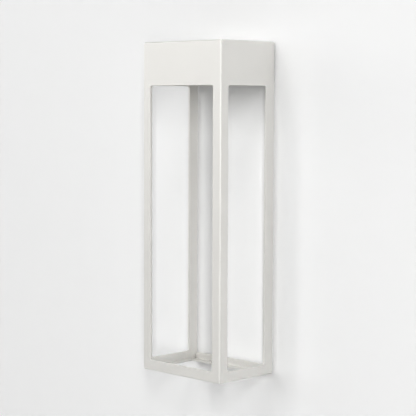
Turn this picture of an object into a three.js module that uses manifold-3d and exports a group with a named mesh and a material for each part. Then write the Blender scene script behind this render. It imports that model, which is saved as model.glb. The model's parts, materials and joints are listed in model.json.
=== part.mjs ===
// Outdoor wall lantern: a tall open box of folded aluminium sheet under a closed lamp head.
// Millimetres, +Z up. The wall is the plane y = 0, and the lantern stands out from it towards -Y.
// The origin is the centre of the wall bracket's back face, which is at mid-height of the head.
import * as THREE from "three";
import { mergeVertices } from "three/addons/utils/BufferGeometryUtils.js";
import Module from "manifold-3d";

const wasm = await Module();
wasm.setup();

// ---- driving dimensions ----
const HEIGHT = 500;
const WIDTH = 165;
const DEPTH = 113.5;
const HEAD_HEIGHT = 65.5;
const SHEET = 3;
const BEND_R = 3.2;
const REAR_CORNER_R = 1.4;
const WALL_GAP = 1.5;
const BRACKET_DROP = 33;
const FRONT_POST = 16;
const REAR_POST = 18;
const BOTTOM_RAIL = 16.5;
const WINDOW_R = 3;
const BOTTOM_LIP = 6;
const TOP_LIP = 12;
const GAP = 0.3;

// The fold at each front corner is relieved by a notch and a mitre slit.
const RELIEF_WIDTH = 1.6;
const RELIEF_HEIGHT = 3.4;
const RELIEF_REACH = 5;
const MITRE_SLIT = 0.5;

const TOP_GAUGE = 2.5;
const COVER_SINK = 0.2;
const COVER_CORNER_R = 1.5;
const TRAY_GAUGE = 2;
const TRAY_RECESS = 5.5;
const STRAP_GAUGE = 2;
const HANGER_LEG = 18;
const TRAY_BRACKET = { leg: 14, high: 13 };
const FOOT_PAD = { x: 60, r: 5 };

const CROSS_BAR_HEIGHT = 13;
const CROSS_BAR_DEPTH = 14;

// Where the lantern stands in the bracket's frame.
const TOP = BRACKET_DROP;
const BOTTOM = TOP - HEIGHT;
const HEAD_UNDER = TOP - HEAD_HEIGHT;
const REAR = -WALL_GAP;
const FRONT = REAR - DEPTH;
const SIDE = WIDTH / 2;
const INNER_SIDE = SIDE - SHEET;
const INNER_FRONT = FRONT + SHEET;

// The tray closes the head from below, a little above the windows' top edge.
const TRAY_LOW = HEAD_UNDER + TRAY_RECESS;
const TRAY_TOP = TRAY_LOW + TRAY_GAUGE;
const FLOOR = TRAY_TOP + GAP;
const TRAY_REAR = REAR - 1;

// The lamp: a sealed light box over an opening in the tray, with a finned heat sink on it.
const LAMP_Y = -60;
const LENS = { width: 96, depth: 56, thick: 3 };
const OPENING = { width: 88, depth: 48, radius: 4 };
const LIGHT_BOX = { width: 104, depth: 64, inner: 90, innerDepth: 50, radius: 5 };
const LUG = { r: 4.5, high: 3, web: 6 };
const GASKET_THICK = 1;
const REFLECTOR = { width: 88, depth: 48, topWidth: 42, topDepth: 32, wall: 2.4 };
const LENS_LOW = FLOOR + GASKET_THICK + GAP;
const LENS_HIGH = LENS_LOW + LENS.thick;
const LIGHT_BOX_TOP = -2.3;
const SINK_LOW = LIGHT_BOX_TOP + GAP;
const SINK_BASE = 4;
const SINK_TOP = SINK_LOW + SINK_BASE;
const FIN_HEIGHT = 10;
const FIN_COUNT = 11;
const FIN_THICK = 1.8;
const FIN_REACH = 26;
const FIN_MARGIN = 8;
const LEAD_POCKET = { half: 6, reach: 9, bore: 1.6 };
const BOARD = { width: 76, depth: 40, thick: 1.6 };
const BOARD_LOW = LIGHT_BOX_TOP - BOARD.thick;
const CHIP_R = 11;
const CHIP_THICK = 1.2;
const LUG_X = LIGHT_BOX.width / 2 + 5;
const LUG_Y = 22;
const SINK_SCREW_INSET = 3.6;
const BOARD_SCREW_X = 34;
const LEAD_X = 20;
const LEAD_Y = 4;

// The driver stands along the head's front wall, and the terminal block is at its back.
const DRIVER = { half: 45, front: -110.5, rear: -94, high: 3, footR: 0.8, topR: 2.5 };
const DRIVER_LUG = 9;
const DRIVER_FOOT = { half: 5, high: 2, bore: 1.7, boreDepth: 4 };
const TERMINAL = { left: -61, right: -29, front: -21, rear: -7, high: -8.7 };
const TERMINAL_EAR = { reach: 8, half: 4, high: 3 };
const WELL = { r: 2.4, depth: 5, inset: 5.2 };
const TESTER = { r: 1.9, depth: 8, inset: 3.2 };
const POLE_BORE = { r: 1.6, z: -19, depth: 6 };
const CLAMP = { r: 2, low: 4.6, high: 1, slotHalf: 0.4, slotDepth: 0.8 };
const POLE_X = [-55, -45, -35];
const EARTH = { x: 45, y: -18, flangeR: 5, flange: 1.2, r: 2, high: 10 };
const EARTH_LUG = { r: 4.2, bore: 2.3, thick: 0.8, tongue: 7.5, half: 1.8 };
const NUT_R = 4;
const EARTH_NUT_HIGH = 3.2;
const MAINS_LEAD_R = 1.1;
const LAMP_LEAD_R = 0.9;

// The wall bracket: a plate with two hooks along its top edge and a slotted lip at its foot.
const BRACKET = { half: 62, low: -22, high: 20, thick: 2, radius: 4 };
const HOOK = { x: 40, width: 16, reach: 8.4, rise: 4.4 };
const WALL_SLOT = { x: 52, width: 5.5, length: 12 };
const CABLE_HOLE = { x: -26, z: 0, r: 9 };
const GROMMET = { flange: 2.5, thick: 2, bore: 5, back: 0.1 };
const LIP = { half: 14, reach: 16, slotHalf: 2.6, past: 0.5 };
const LOCK_Y = -11;
const SPACER = { r: 5, high: 1.4 };
const LOCK_NUT_HIGH = 3.2;
const HANGER_CLEARANCE = 0.4;

// The hanger bar sits in the bracket's hooks.
const HANGER_FRONT = -(HOOK.reach - BRACKET.thick) + HANGER_CLEARANCE;
const HANGER_HIGH = TOP - SHEET - TOP_GAUGE - 2 * GAP;

const M4 = { shank: 2, hole: 2.3, head: 4, rise: 2.3 };
const M3 = { shank: 1.5, hole: 1.8, head: 3, rise: 2 };
const M25 = { shank: 1.2, hole: 1.5, head: 2.3, rise: 1.5 };

// ---- finishes ----
const paint = { color: 0xdad8d0, roughness: 0.55, metalness: 0.0 };
const bareAluminium = { color: 0xb4b7ba, roughness: 0.4, metalness: 1.0 };
const zincSteel = { color: 0xc3c4c2, roughness: 0.35, metalness: 1.0 };
const brass = { color: 0xb99a55, roughness: 0.35, metalness: 1.0 };
const opal = { color: 0xeeeeea, roughness: 0.35, metalness: 0.0 };
const whiteReflector = { color: 0xf2f2ef, roughness: 0.5, metalness: 0.0 };
const boardWhite = { color: 0xe6e9e6, roughness: 0.45, metalness: 0.0 };
const phosphor = { color: 0xe8d36a, roughness: 0.5, metalness: 0.0 };
const rubber = { color: 0x2a2a2b, roughness: 0.85, metalness: 0.0 };
const silicone = { color: 0xcfd0ce, roughness: 0.75, metalness: 0.0 };
const casing = { color: 0xe4e4e0, roughness: 0.5, metalness: 0.0 };
const wireBrown = { color: 0x5b3a26, roughness: 0.5, metalness: 0.0 };
const wireBlue = { color: 0x2f5fa8, roughness: 0.5, metalness: 0.0 };
const wireGreen = { color: 0x5f9a3a, roughness: 0.5, metalness: 0.0 };
const wireRed = { color: 0xa83228, roughness: 0.5, metalness: 0.0 };
const wireBlack = { color: 0x1f1f20, roughness: 0.5, metalness: 0.0 };

const lantern = new THREE.Group();

// ---- geometry helpers ----

// A closed three.js geometry as a solid whose faces point out.
function solidOf(geometry) {
  const source = geometry.index ? geometry.toNonIndexed() : geometry;
  const bare = new THREE.BufferGeometry();
  bare.setAttribute("position", source.getAttribute("position").clone());
  const merged = mergeVertices(bare, 1e-4);
  const place = merged.getAttribute("position");
  const index = merged.index.array;
  const corners = [0, 1, 2].map(() => new THREE.Vector3());
  const triangles = [];
  let volume = 0;
  for (let i = 0; i < index.length; i += 3) {
    const three = [index[i], index[i + 1], index[i + 2]];
    if (new Set(three).size < 3) continue;
    triangles.push(three);
    three.forEach((v, k) => corners[k].fromBufferAttribute(place, v));
    volume += corners[0].dot(corners[1].cross(corners[2]));
  }
  if (volume < 0) triangles.forEach((three) => three.reverse());
  const triVerts = Uint32Array.from(triangles.flat());
  return new wasm.Manifold(new wasm.Mesh({ numProp: 3, vertProperties: place.array, triVerts }));
}

// Turns a geometry made along +Z so that its length runs along the axis named.
function turned(geometry, axis) {
  const basis = {
    x: [new THREE.Vector3(0, 1, 0), new THREE.Vector3(0, 0, 1), new THREE.Vector3(1, 0, 0)],
    y: [new THREE.Vector3(1, 0, 0), new THREE.Vector3(0, 0, 1), new THREE.Vector3(0, -1, 0)],
    z: [new THREE.Vector3(1, 0, 0), new THREE.Vector3(0, 1, 0), new THREE.Vector3(0, 0, 1)],
  }[axis];
  return geometry.applyMatrix4(new THREE.Matrix4().makeBasis(...basis));
}

function box(x0, x1, y0, y1, z0, z1) {
  const geometry = new THREE.BoxGeometry(x1 - x0, y1 - y0, z1 - z0);
  geometry.translate((x0 + x1) / 2, (y0 + y1) / 2, (z0 + z1) / 2);
  return solidOf(geometry);
}

// Extrudes an outline from one place to another along an axis.
// The outline's two directions are (x, y) for axis z, (y, z) for axis x and (x, z) for axis y.
// An arc in the outline gets twice as many segments as curveSegments says.
function prism(outline, axis, from, to, curveSegments = 2) {
  const depth = to - from;
  const geometry = new THREE.ExtrudeGeometry(outline, { depth, bevelEnabled: false, curveSegments });
  turned(geometry, axis);
  const shift = { x: [from, 0, 0], y: [0, to, 0], z: [0, 0, from] }[axis];
  geometry.translate(...shift);
  return solidOf(geometry);
}

// A rectangle whose corners are rounded, in the order low left, low right, high right, high left.
function outlineOf(left, right, low, high, radii) {
  const [ll, lr, hr, hl] = Array.isArray(radii) ? radii : [radii, radii, radii, radii];
  const outline = new THREE.Shape();
  outline.moveTo(left + ll, low);
  outline.lineTo(right - lr, low);
  if (lr) outline.absarc(right - lr, low + lr, lr, -Math.PI / 2, 0, false);
  outline.lineTo(right, high - hr);
  if (hr) outline.absarc(right - hr, high - hr, hr, 0, Math.PI / 2, false);
  outline.lineTo(left + hl, high);
  if (hl) outline.absarc(left + hl, high - hl, hl, Math.PI / 2, Math.PI, false);
  outline.lineTo(left, low + ll);
  if (ll) outline.absarc(left + ll, low + ll, ll, Math.PI, 1.5 * Math.PI, false);
  return outline;
}

// An L section. The heel is its outer corner, and each leg's sign says which way it runs.
function angleOutline(heelU, heelV, legU, legV, thick, radius) {
  const su = Math.sign(legU);
  const sv = Math.sign(legV);
  const outline = new THREE.Shape();
  outline.moveTo(heelU + su * radius, heelV);
  outline.lineTo(heelU + legU, heelV);
  outline.lineTo(heelU + legU, heelV + sv * thick);
  outline.lineTo(heelU + su * thick, heelV + sv * thick);
  outline.lineTo(heelU + su * thick, heelV + legV);
  outline.lineTo(heelU, heelV + legV);
  outline.lineTo(heelU, heelV + sv * radius);
  outline.quadraticCurveTo(heelU, heelV, heelU + su * radius, heelV);
  return outline;
}

// A round bar along an axis. The centre gives the two other coordinates in X, Y, Z order.
function rod(axis, centre, radius, from, to, sides = 16) {
  const circle = new THREE.Shape();
  circle.absarc(centre[0], centre[1], radius, 0, 2 * Math.PI, false);
  return prism(circle, axis, from, to, sides / 2);
}

function ring(axis, centre, outer, inner, from, to, sides = 16) {
  const hole = rod(axis, centre, inner, from - 1, to + 1, sides);
  return rod(axis, centre, outer, from, to, sides).subtract(hole);
}

// A frame of rectangular section that lies flat, centred on the lamp.
function flatFrame(width, depth, inner, innerDepth, z0, z1, radius) {
  const at = (w, d, r) => outlineOf(-w / 2, w / 2, LAMP_Y - d / 2, LAMP_Y + d / 2, r);
  const hole = prism(at(inner, innerDepth, Math.max(radius - 3, 1)), "z", z0 - 1, z1 + 1, 1);
  return prism(at(width, depth, radius), "z", z0, z1).subtract(hole);
}

// A four-sided funnel section, wider at its foot, centred on the lamp.
function frustum(lowWidth, lowDepth, highWidth, highDepth, z0, z1) {
  const geometry = new THREE.BoxGeometry(1, 1, 1);
  const place = geometry.getAttribute("position");
  for (let i = 0; i < place.count; i += 1) {
    const high = place.getZ(i) > 0;
    const x = place.getX(i) * (high ? highWidth : lowWidth);
    const y = LAMP_Y + place.getY(i) * (high ? highDepth : lowDepth);
    place.setXYZ(i, x, y, high ? z1 : z0);
  }
  return solidOf(geometry);
}

// Adds one named piece to the lantern.
function piece(name, solid, finish) {
  const made = solid.getMesh();
  const geometry = new THREE.BufferGeometry();
  geometry.setAttribute("position", new THREE.BufferAttribute(made.vertProperties, 3));
  geometry.setIndex(new THREE.BufferAttribute(made.triVerts, 1));
  geometry.computeVertexNormals();
  const mesh = new THREE.Mesh(geometry, new THREE.MeshStandardMaterial(finish));
  mesh.name = name;
  lantern.add(mesh);
}

// A pan-head screw along Z. The head's flat underside is at z, and up says which way the shank points.
function panScrew(x, y, z, size, length, up) {
  const { shank, head, rise } = size;
  const profile = [
    [0, -rise],
    [head * 0.55, -rise],
    [head, -rise * 0.4],
    [head, 0],
    [shank, 0],
    [shank, length - 0.5],
    [shank - 0.5, length],
    [0, length],
  ].map(([r, h]) => new THREE.Vector2(r, up ? h : -h));
  const geometry = new THREE.LatheGeometry(profile, 10);
  geometry.rotateX(Math.PI / 2);
  geometry.translate(x, y, z);
  return solidOf(geometry);
}

// An insulated wire along a smooth curve through hand-placed points.
function wire(points, radius, steps) {
  const path = new THREE.CatmullRomCurve3(points.map((p) => new THREE.Vector3(...p)));
  const sides = 8;
  const corners = Array.from({ length: sides }, (_, i) => {
    const angle = (2 * Math.PI * i) / sides;
    return new THREE.Vector2(radius * Math.cos(angle), radius * Math.sin(angle));
  });
  return solidOf(new THREE.ExtrudeGeometry(new THREE.Shape(corners), { steps, extrudePath: path }));
}

// ---- the folded body ----

// One front corner's notch through the bend and its mitre slit through the lip.
function cornerRelief(side, z, inward) {
  const notch = new THREE.BoxGeometry(RELIEF_WIDTH, 2 * RELIEF_REACH, 2 * RELIEF_HEIGHT);
  const slit = new THREE.BoxGeometry(MITRE_SLIT, 4 * inward, 2 * (SHEET + 0.5));
  return [notch, slit]
    .map((geometry) => {
      geometry.rotateZ(side * (Math.PI / 4));
      geometry.translate(side * SIDE, FRONT, z);
      return solidOf(geometry);
    })
    .reduce((a, b) => a.add(b));
}

function bodyShell() {
  const plan = outlineOf(-SIDE, SIDE, FRONT, REAR, [BEND_R, BEND_R, 0, 0]);
  const profile = outlineOf(FRONT, REAR, BOTTOM, TOP, [BEND_R, REAR_CORNER_R, REAR_CORNER_R, BEND_R]);
  const face = outlineOf(-SIDE, SIDE, BOTTOM, TOP, BEND_R);
  const cavity = box(-INNER_SIDE, INNER_SIDE, INNER_FRONT, REAR + 1, BOTTOM + SHEET, TOP - SHEET);
  const foot = SIDE - BOTTOM_LIP;
  const barSeat = REAR - CROSS_BAR_DEPTH - GAP;
  const frontWindow = outlineOf(
    -SIDE + FRONT_POST, SIDE - FRONT_POST, BOTTOM + BOTTOM_RAIL, HEAD_UNDER, WINDOW_R,
  );
  const sideWindow = outlineOf(
    FRONT + FRONT_POST, REAR - REAR_POST, BOTTOM + BOTTOM_RAIL, HEAD_UNDER, WINDOW_R,
  );
  let shell = prism(plan, "z", BOTTOM, TOP, 3)
    .intersect(prism(profile, "x", -SIDE, SIDE, 3))
    .intersect(prism(face, "y", FRONT, REAR, 3))
    .subtract(cavity)
    .subtract(box(-foot, foot, FRONT + BOTTOM_LIP, REAR + 1, BOTTOM - 1, BOTTOM + SHEET + 1))
    .subtract(box(-INNER_SIDE, INNER_SIDE, barSeat, REAR + 1, BOTTOM - 1, BOTTOM + SHEET + 1))
    .subtract(box(-SIDE + TOP_LIP, SIDE - TOP_LIP, FRONT + TOP_LIP, REAR + 1, TOP - SHEET - 1, TOP + 1))
    .subtract(prism(frontWindow, "y", FRONT - 1, INNER_FRONT + 1))
    .subtract(prism(sideWindow, "x", -SIDE - 1, SIDE + 1));
  for (const side of [-1, 1]) {
    shell = shell.subtract(cornerRelief(side, BOTTOM, BOTTOM_LIP));
    shell = shell.subtract(cornerRelief(side, TOP, TOP_LIP));
  }
  return shell;
}

// The pressed cover lies under the head's top lips and its middle stands flush with them.
function topCover() {
  const ledgeHigh = TOP - SHEET - GAP;
  const ledgeLow = ledgeHigh - TOP_GAUGE;
  const flush = TOP - COVER_SINK;
  const half = SIDE - TOP_LIP - GAP;
  const front = FRONT + TOP_LIP + GAP;
  const wide = INNER_SIDE - GAP;
  const ledge = box(-wide, wide, INNER_FRONT + GAP, REAR, ledgeLow, ledgeHigh);
  const crown = outlineOf(-half, half, front, REAR, [COVER_CORNER_R, COVER_CORNER_R, 0, 0]);
  const raised = prism(crown, "z", ledgeLow, flush);
  const under = box(
    -half + TOP_GAUGE, half - TOP_GAUGE, front + TOP_GAUGE, REAR - TOP_GAUGE,
    ledgeLow - 1, flush - TOP_GAUGE,
  );
  return ledge.add(raised).subtract(under);
}

function bodyFittings() {
  const wide = INNER_SIDE - GAP;
  const bar = angleOutline(REAR, BOTTOM, -CROSS_BAR_DEPTH, CROSS_BAR_HEIGHT, SHEET, BEND_R);
  piece("rear_cross_bar", prism(bar, "x", -wide, wide), paint);
  const rear = HANGER_FRONT + STRAP_GAUGE;
  const drop = HANGER_HIGH - (BRACKET.high + GAP);
  const hanger = angleOutline(rear, HANGER_HIGH, -HANGER_LEG, -drop, STRAP_GAUGE, STRAP_GAUGE);
  piece("hanger_bar", prism(hanger, "x", -wide, wide), zincSteel);
  for (const [name, x] of [["left", -FOOT_PAD.x], ["right", FOOT_PAD.x]]) {
    const pad = rod("y", [x, BOTTOM + CROSS_BAR_HEIGHT / 2], FOOT_PAD.r, REAR + GAP, 0);
    piece(`foot_pad_${name}`, pad, rubber);
  }
}

// ---- the tray that closes the head, and how it is held ----
const TRAY_SCREW_PLACES = [
  ["front_left", -72, -104],
  ["front_right", 72, -104],
  ["rear_left", -72, -14],
  ["rear_right", 72, -14],
];

const LIGHT_BOX_SCREW_PLACES = [
  ["front_left", -LUG_X, LAMP_Y - LUG_Y],
  ["front_right", LUG_X, LAMP_Y - LUG_Y],
  ["rear_left", -LUG_X, LAMP_Y + LUG_Y],
  ["rear_right", LUG_X, LAMP_Y + LUG_Y],
];

const DRIVER_SCREW_X = DRIVER.half + DRIVER_LUG / 2;
const DRIVER_Y = (DRIVER.front + DRIVER.rear) / 2;
const TERMINAL_SCREW = { x: TERMINAL.right + 4, y: (TERMINAL.front + TERMINAL.rear) / 2 };

function lampTray() {
  const wide = INNER_SIDE - GAP;
  const front = INNER_FRONT + GAP;
  const outer = box(-wide, wide, front, TRAY_REAR, HEAD_UNDER + GAP, TRAY_TOP);
  const hollow = box(
    -wide + TRAY_GAUGE, wide - TRAY_GAUGE, front + TRAY_GAUGE, TRAY_REAR - TRAY_GAUGE,
    HEAD_UNDER - 1, TRAY_LOW,
  );
  const { width, depth, radius } = OPENING;
  const mouth = outlineOf(-width / 2, width / 2, LAMP_Y - depth / 2, LAMP_Y + depth / 2, radius);
  let tray = outer.subtract(hollow).subtract(prism(mouth, "z", TRAY_LOW - 1, TRAY_TOP + 1));
  const drill = (x, y, size) => {
    tray = tray.subtract(rod("z", [x, y], size.hole, TRAY_LOW - 1, TRAY_TOP + 1, 12));
  };
  TRAY_SCREW_PLACES.forEach(([, x, y]) => drill(x, y, M4));
  LIGHT_BOX_SCREW_PLACES.forEach(([, x, y]) => drill(x, y, M3));
  drill(0, LOCK_Y, M4);
  drill(-DRIVER_SCREW_X, DRIVER_Y, M25);
  drill(DRIVER_SCREW_X, DRIVER_Y, M25);
  drill(TERMINAL_SCREW.x, TERMINAL_SCREW.y, M25);
  return tray;
}

function trayHolding() {
  const { leg, high } = TRAY_BRACKET;
  for (const [name, x, y] of TRAY_SCREW_PLACES) {
    const side = Math.sign(x);
    const heel = side * (INNER_SIDE - GAP);
    const section = angleOutline(heel, FLOOR, -side * leg, high, STRAP_GAUGE, STRAP_GAUGE);
    const hole = rod("z", [x, y], M4.hole, FLOOR - 1, FLOOR + 3, 12);
    const tab = prism(section, "y", y - leg / 2, y + leg / 2).subtract(hole);
    piece(`tray_bracket_${name}`, tab, zincSteel);
    piece(`tray_screw_${name}`, panScrew(x, y, TRAY_LOW - GAP, M4, 8, true), zincSteel);
  }
}

// ---- the lamp ----
function lightBox() {
  const { width, depth, inner, innerDepth, radius } = LIGHT_BOX;
  const seat = LENS_HIGH + GAP;
  const low = flatFrame(width, depth, LENS.width + 2 * GAP, LENS.depth + 2 * GAP, FLOOR, seat, radius);
  let body = low.add(flatFrame(width, depth, inner, innerDepth, seat, LIGHT_BOX_TOP, radius));
  for (const [, x, y] of LIGHT_BOX_SCREW_PLACES) {
    const root = x - Math.sign(x) * LUG.web;
    const web = box(
      Math.min(x, root), Math.max(x, root), y - LUG.r, y + LUG.r, FLOOR, FLOOR + LUG.high,
    );
    body = body.add(rod("z", [x, y], LUG.r, FLOOR, FLOOR + LUG.high)).add(web);
    body = body.subtract(rod("z", [x, y], M3.hole, FLOOR - 1, FLOOR + 4, 12));
  }
  for (const [x, y] of sinkScrewPlaces()) {
    body = body.subtract(rod("z", [x, y], M25.hole, LIGHT_BOX_TOP - 9, LIGHT_BOX_TOP + 1, 8));
  }
  return body;
}

function sinkScrewPlaces() {
  const x = LIGHT_BOX.width / 2 - SINK_SCREW_INSET;
  const y = LIGHT_BOX.depth / 2 - SINK_SCREW_INSET;
  return [[-x, LAMP_Y - y], [x, LAMP_Y - y], [-x, LAMP_Y + y], [x, LAMP_Y + y]];
}

const LED_LEAD_PLACES = [[LEAD_X, LAMP_Y + LEAD_Y], [LEAD_X, LAMP_Y - LEAD_Y]];
const BOARD_SCREW_PLACES = [["left", -BOARD_SCREW_X], ["right", BOARD_SCREW_X]];

function heatSink() {
  const { width, depth, radius } = LIGHT_BOX;
  const plate = outlineOf(-width / 2, width / 2, LAMP_Y - depth / 2, LAMP_Y + depth / 2, radius);
  let sink = prism(plate, "z", SINK_LOW, SINK_TOP);
  const finSpan = width - FIN_MARGIN;
  const pitch = (finSpan - FIN_THICK) / (FIN_COUNT - 1);
  const finTop = SINK_TOP + FIN_HEIGHT;
  for (let i = 0; i < FIN_COUNT; i += 1) {
    const x = -finSpan / 2 + i * pitch;
    const fin = box(x, x + FIN_THICK, LAMP_Y - FIN_REACH, LAMP_Y + FIN_REACH, SINK_TOP - 0.5, finTop);
    sink = sink.add(fin);
  }
  const { half, reach, bore } = LEAD_POCKET;
  sink = sink.subtract(
    box(LEAD_X - half, LEAD_X + half, LAMP_Y - reach, LAMP_Y + reach, SINK_TOP, finTop + 1),
  );
  for (const [x, y] of LED_LEAD_PLACES) {
    sink = sink.subtract(rod("z", [x, y], bore, SINK_LOW - 1, SINK_TOP + 1, 8));
  }
  for (const [x, y] of sinkScrewPlaces()) {
    sink = sink.subtract(rod("z", [x, y], M25.hole, SINK_LOW - 1, SINK_TOP + 1, 8));
  }
  for (const [, x] of BOARD_SCREW_PLACES) {
    sink = sink.subtract(rod("z", [x, LAMP_Y], M25.hole, SINK_LOW - 1, SINK_TOP - 1, 8));
  }
  return sink;
}

function ledBoard() {
  const { width, depth } = BOARD;
  const plate = outlineOf(-width / 2, width / 2, LAMP_Y - depth / 2, LAMP_Y + depth / 2, 2);
  let board = prism(plate, "z", BOARD_LOW, LIGHT_BOX_TOP, 1);
  for (const [, x] of BOARD_SCREW_PLACES) {
    board = board.subtract(rod("z", [x, LAMP_Y], M25.hole, BOARD_LOW - 1, LIGHT_BOX_TOP + 1, 8));
  }
  return board;
}

function reflector() {
  const { width, depth, topWidth, topDepth, wall } = REFLECTOR;
  const low = LENS_HIGH + 2 * GAP;
  const high = BOARD_LOW - GAP;
  const foot = [width - wall, depth - wall];
  const crown = [topWidth - wall, topDepth - wall];
  const funnel = frustum(...foot, ...crown, low, high)
    .add(frustum(...crown, ...crown, low - 1, high + 1))
    .add(frustum(...foot, ...foot, low - 1, low + 0.01));
  return frustum(width, depth, topWidth, topDepth, low, high).subtract(funnel);
}

function lamp() {
  const { width, depth, thick } = LENS;
  const { inner: mouth, innerDepth: mouthDepth } = LIGHT_BOX;
  const seal = flatFrame(width, depth, mouth, mouthDepth, FLOOR, FLOOR + GASKET_THICK, 4);
  piece("lens_gasket", seal, silicone);
  const pane = outlineOf(-width / 2, width / 2, LAMP_Y - depth / 2, LAMP_Y + depth / 2, 3);
  piece("lens", prism(pane, "z", LENS_LOW, LENS_LOW + thick), opal);
  piece("light_box", lightBox(), bareAluminium);
  piece("reflector", reflector(), whiteReflector);
  piece("led_board", ledBoard(), boardWhite);
  const chipTop = BOARD_LOW - GAP;
  piece("led_chip", rod("z", [0, LAMP_Y], CHIP_R, chipTop - CHIP_THICK, chipTop, 20), phosphor);
  piece("heat_sink", heatSink(), bareAluminium);
  for (const [name, x] of BOARD_SCREW_PLACES) {
    piece(`board_screw_${name}`, panScrew(x, LAMP_Y, BOARD_LOW - GAP, M25, 4.5, true), zincSteel);
  }
  for (const [name, x, y] of LIGHT_BOX_SCREW_PLACES) {
    piece(`light_box_screw_${name}`, panScrew(x, y, TRAY_LOW - GAP, M3, 5.4, true), zincSteel);
  }
  sinkScrewPlaces().forEach(([x, y], i) => {
    piece(`sink_screw_${i + 1}`, panScrew(x, y, SINK_TOP + GAP, M25, 10, false), zincSteel);
  });
}

// ---- the driver, the terminals and the wiring ----
const DRIVER_BORES = { left: [-14, -8], right: [-10, -4] };

function driver() {
  const { half, front, rear, high, footR, topR } = DRIVER;
  const foot = DRIVER_FOOT;
  const section = outlineOf(front, rear, FLOOR, high, [footR, footR, topR, topR]);
  let body = prism(section, "x", -half, half);
  const span = half + DRIVER_LUG;
  const lugs = outlineOf(-span, span, DRIVER_Y - foot.half, DRIVER_Y + foot.half, 3);
  body = body.add(prism(lugs, "z", FLOOR, FLOOR + foot.high));
  for (const side of [-1, 1]) {
    const place = [side * DRIVER_SCREW_X, DRIVER_Y];
    body = body.subtract(rod("z", place, M25.hole, FLOOR - 1, FLOOR + foot.high + 1, 8));
    for (const z of DRIVER_BORES[side < 0 ? "left" : "right"]) {
      const from = side < 0 ? -half - 1 : half - foot.boreDepth;
      body = body.subtract(rod("x", [DRIVER_Y, z], foot.bore, from, from + foot.boreDepth + 1, 10));
    }
  }
  return body;
}

function terminalBlock() {
  const { left, right, front, rear, high } = TERMINAL;
  let block = prism(outlineOf(left, right, front, rear, 1), "z", FLOOR, high, 1);
  const ear = TERMINAL_EAR;
  const { x: screwX, y: screwY } = TERMINAL_SCREW;
  const earHigh = FLOOR + ear.high;
  block = block
    .add(box(right - 1, right + ear.reach, screwY - ear.half, screwY + ear.half, FLOOR, earHigh))
    .subtract(rod("z", [screwX, screwY], M25.hole, FLOOR - 1, earHigh + 1, 8));
  for (const x of POLE_X) {
    block = block
      .subtract(rod("z", [x, rear - TESTER.inset], TESTER.r, high - TESTER.depth, high + 1, 10))
      .subtract(rod("z", [x, front + WELL.inset], WELL.r, high - WELL.depth, high + 1, 10))
      .subtract(rod("y", [x, POLE_BORE.z], POLE_BORE.r, front - 1, front + POLE_BORE.depth, 10));
  }
  return block;
}

function wiring() {
  const inPole = TERMINAL.front + 4;
  const [lowBore, highBore] = DRIVER_BORES.left;
  const [minusBore, plusBore] = DRIVER_BORES.right;
  const end = DRIVER.half - 3;
  piece("live_lead", wire([
    [-55, inPole, -19], [-55, -22, -19], [-56, -27, -18.4], [-57.5, -36, -17.4], [-57.5, -60, -16.5],
    [-57.5, -86, -16], [-58, -95, -15.4], [-56, -101, -14.4], [-51, DRIVER_Y, -14],
    [-end, DRIVER_Y, lowBore],
  ], MAINS_LEAD_R, 30), wireBrown);
  piece("neutral_lead", wire([
    [-45, inPole, -19], [-45, -22, -18.8], [-47.5, -25.4, -16.5], [-53, -27.5, -13.5],
    [-57, -34, -12], [-57.5, -60, -11], [-57.5, -86, -10.5], [-58, -95, -9.8], [-56, -101, -8.6],
    [-51, DRIVER_Y, -8], [-end, DRIVER_Y, highBore],
  ], MAINS_LEAD_R, 32), wireBlue);
  piece("earth_lead", wire([
    [-35, inPole, -19], [-35, -21.6, -19], [-33, -24.4, -18.8], [-26, -25, -18.6], [0, -25, -18.6],
    [28, -24.8, -18.6], [36, -23.4, -19], [39.2, -20.5, -20.4], [40.2, -18.6, -21.2],
  ], MAINS_LEAD_R, 26), wireGreen);
  const [[plusX, plusY], [minusX, minusY]] = LED_LEAD_PLACES;
  piece("led_lead_plus", wire([
    [end, DRIVER_Y, plusBore], [49, DRIVER_Y, plusBore], [54, -100, -2], [55.5, -93, 7], [54, -84, 13.5],
    [48, -75, 18.2], [36, -61, 19.4], [26, -57, 18], [plusX + 0.6, plusY, 14], [plusX, plusY, 8],
    [plusX, plusY, SINK_LOW],
  ], LAMP_LEAD_R, 34), wireRed);
  piece("led_lead_minus", wire([
    [end, DRIVER_Y, minusBore], [49, DRIVER_Y, minusBore], [56.8, -100, -8], [58.3, -93, 3.2],
    [56.8, -84, 9.2], [54, -78, 12], [48.5, -74.5, 14.4], [40, -70.5, 14.8], [32, -67, 15.4], [25, -64.6, 15],
    [minusX + 0.8, minusY, 12.5], [minusX, minusY, 8], [minusX, minusY, SINK_LOW],
  ], LAMP_LEAD_R, 34), wireBlack);
}

function earthPoint() {
  const { x, y, flangeR, flange, r, high } = EARTH;
  const stud = rod("z", [x, y], flangeR, FLOOR, FLOOR + flange, 14);
  piece("earth_stud", stud.add(rod("z", [x, y], r, FLOOR, FLOOR + high, 10)), zincSteel);
  const lug = EARTH_LUG;
  const lugLow = FLOOR + flange + GAP;
  const lugHigh = lugLow + lug.thick;
  const tongue = box(x - lug.tongue, x - 3, y - lug.half, y + lug.half, lugLow, lugHigh);
  piece("earth_lug", ring("z", [x, y], lug.r, lug.bore, lugLow, lugHigh, 14).add(tongue), brass);
  const nutLow = lugHigh + GAP;
  const nut = ring("z", [x, y], NUT_R, M4.hole, nutLow, nutLow + EARTH_NUT_HIGH, 6);
  piece("earth_nut", nut, zincSteel);
}

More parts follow.
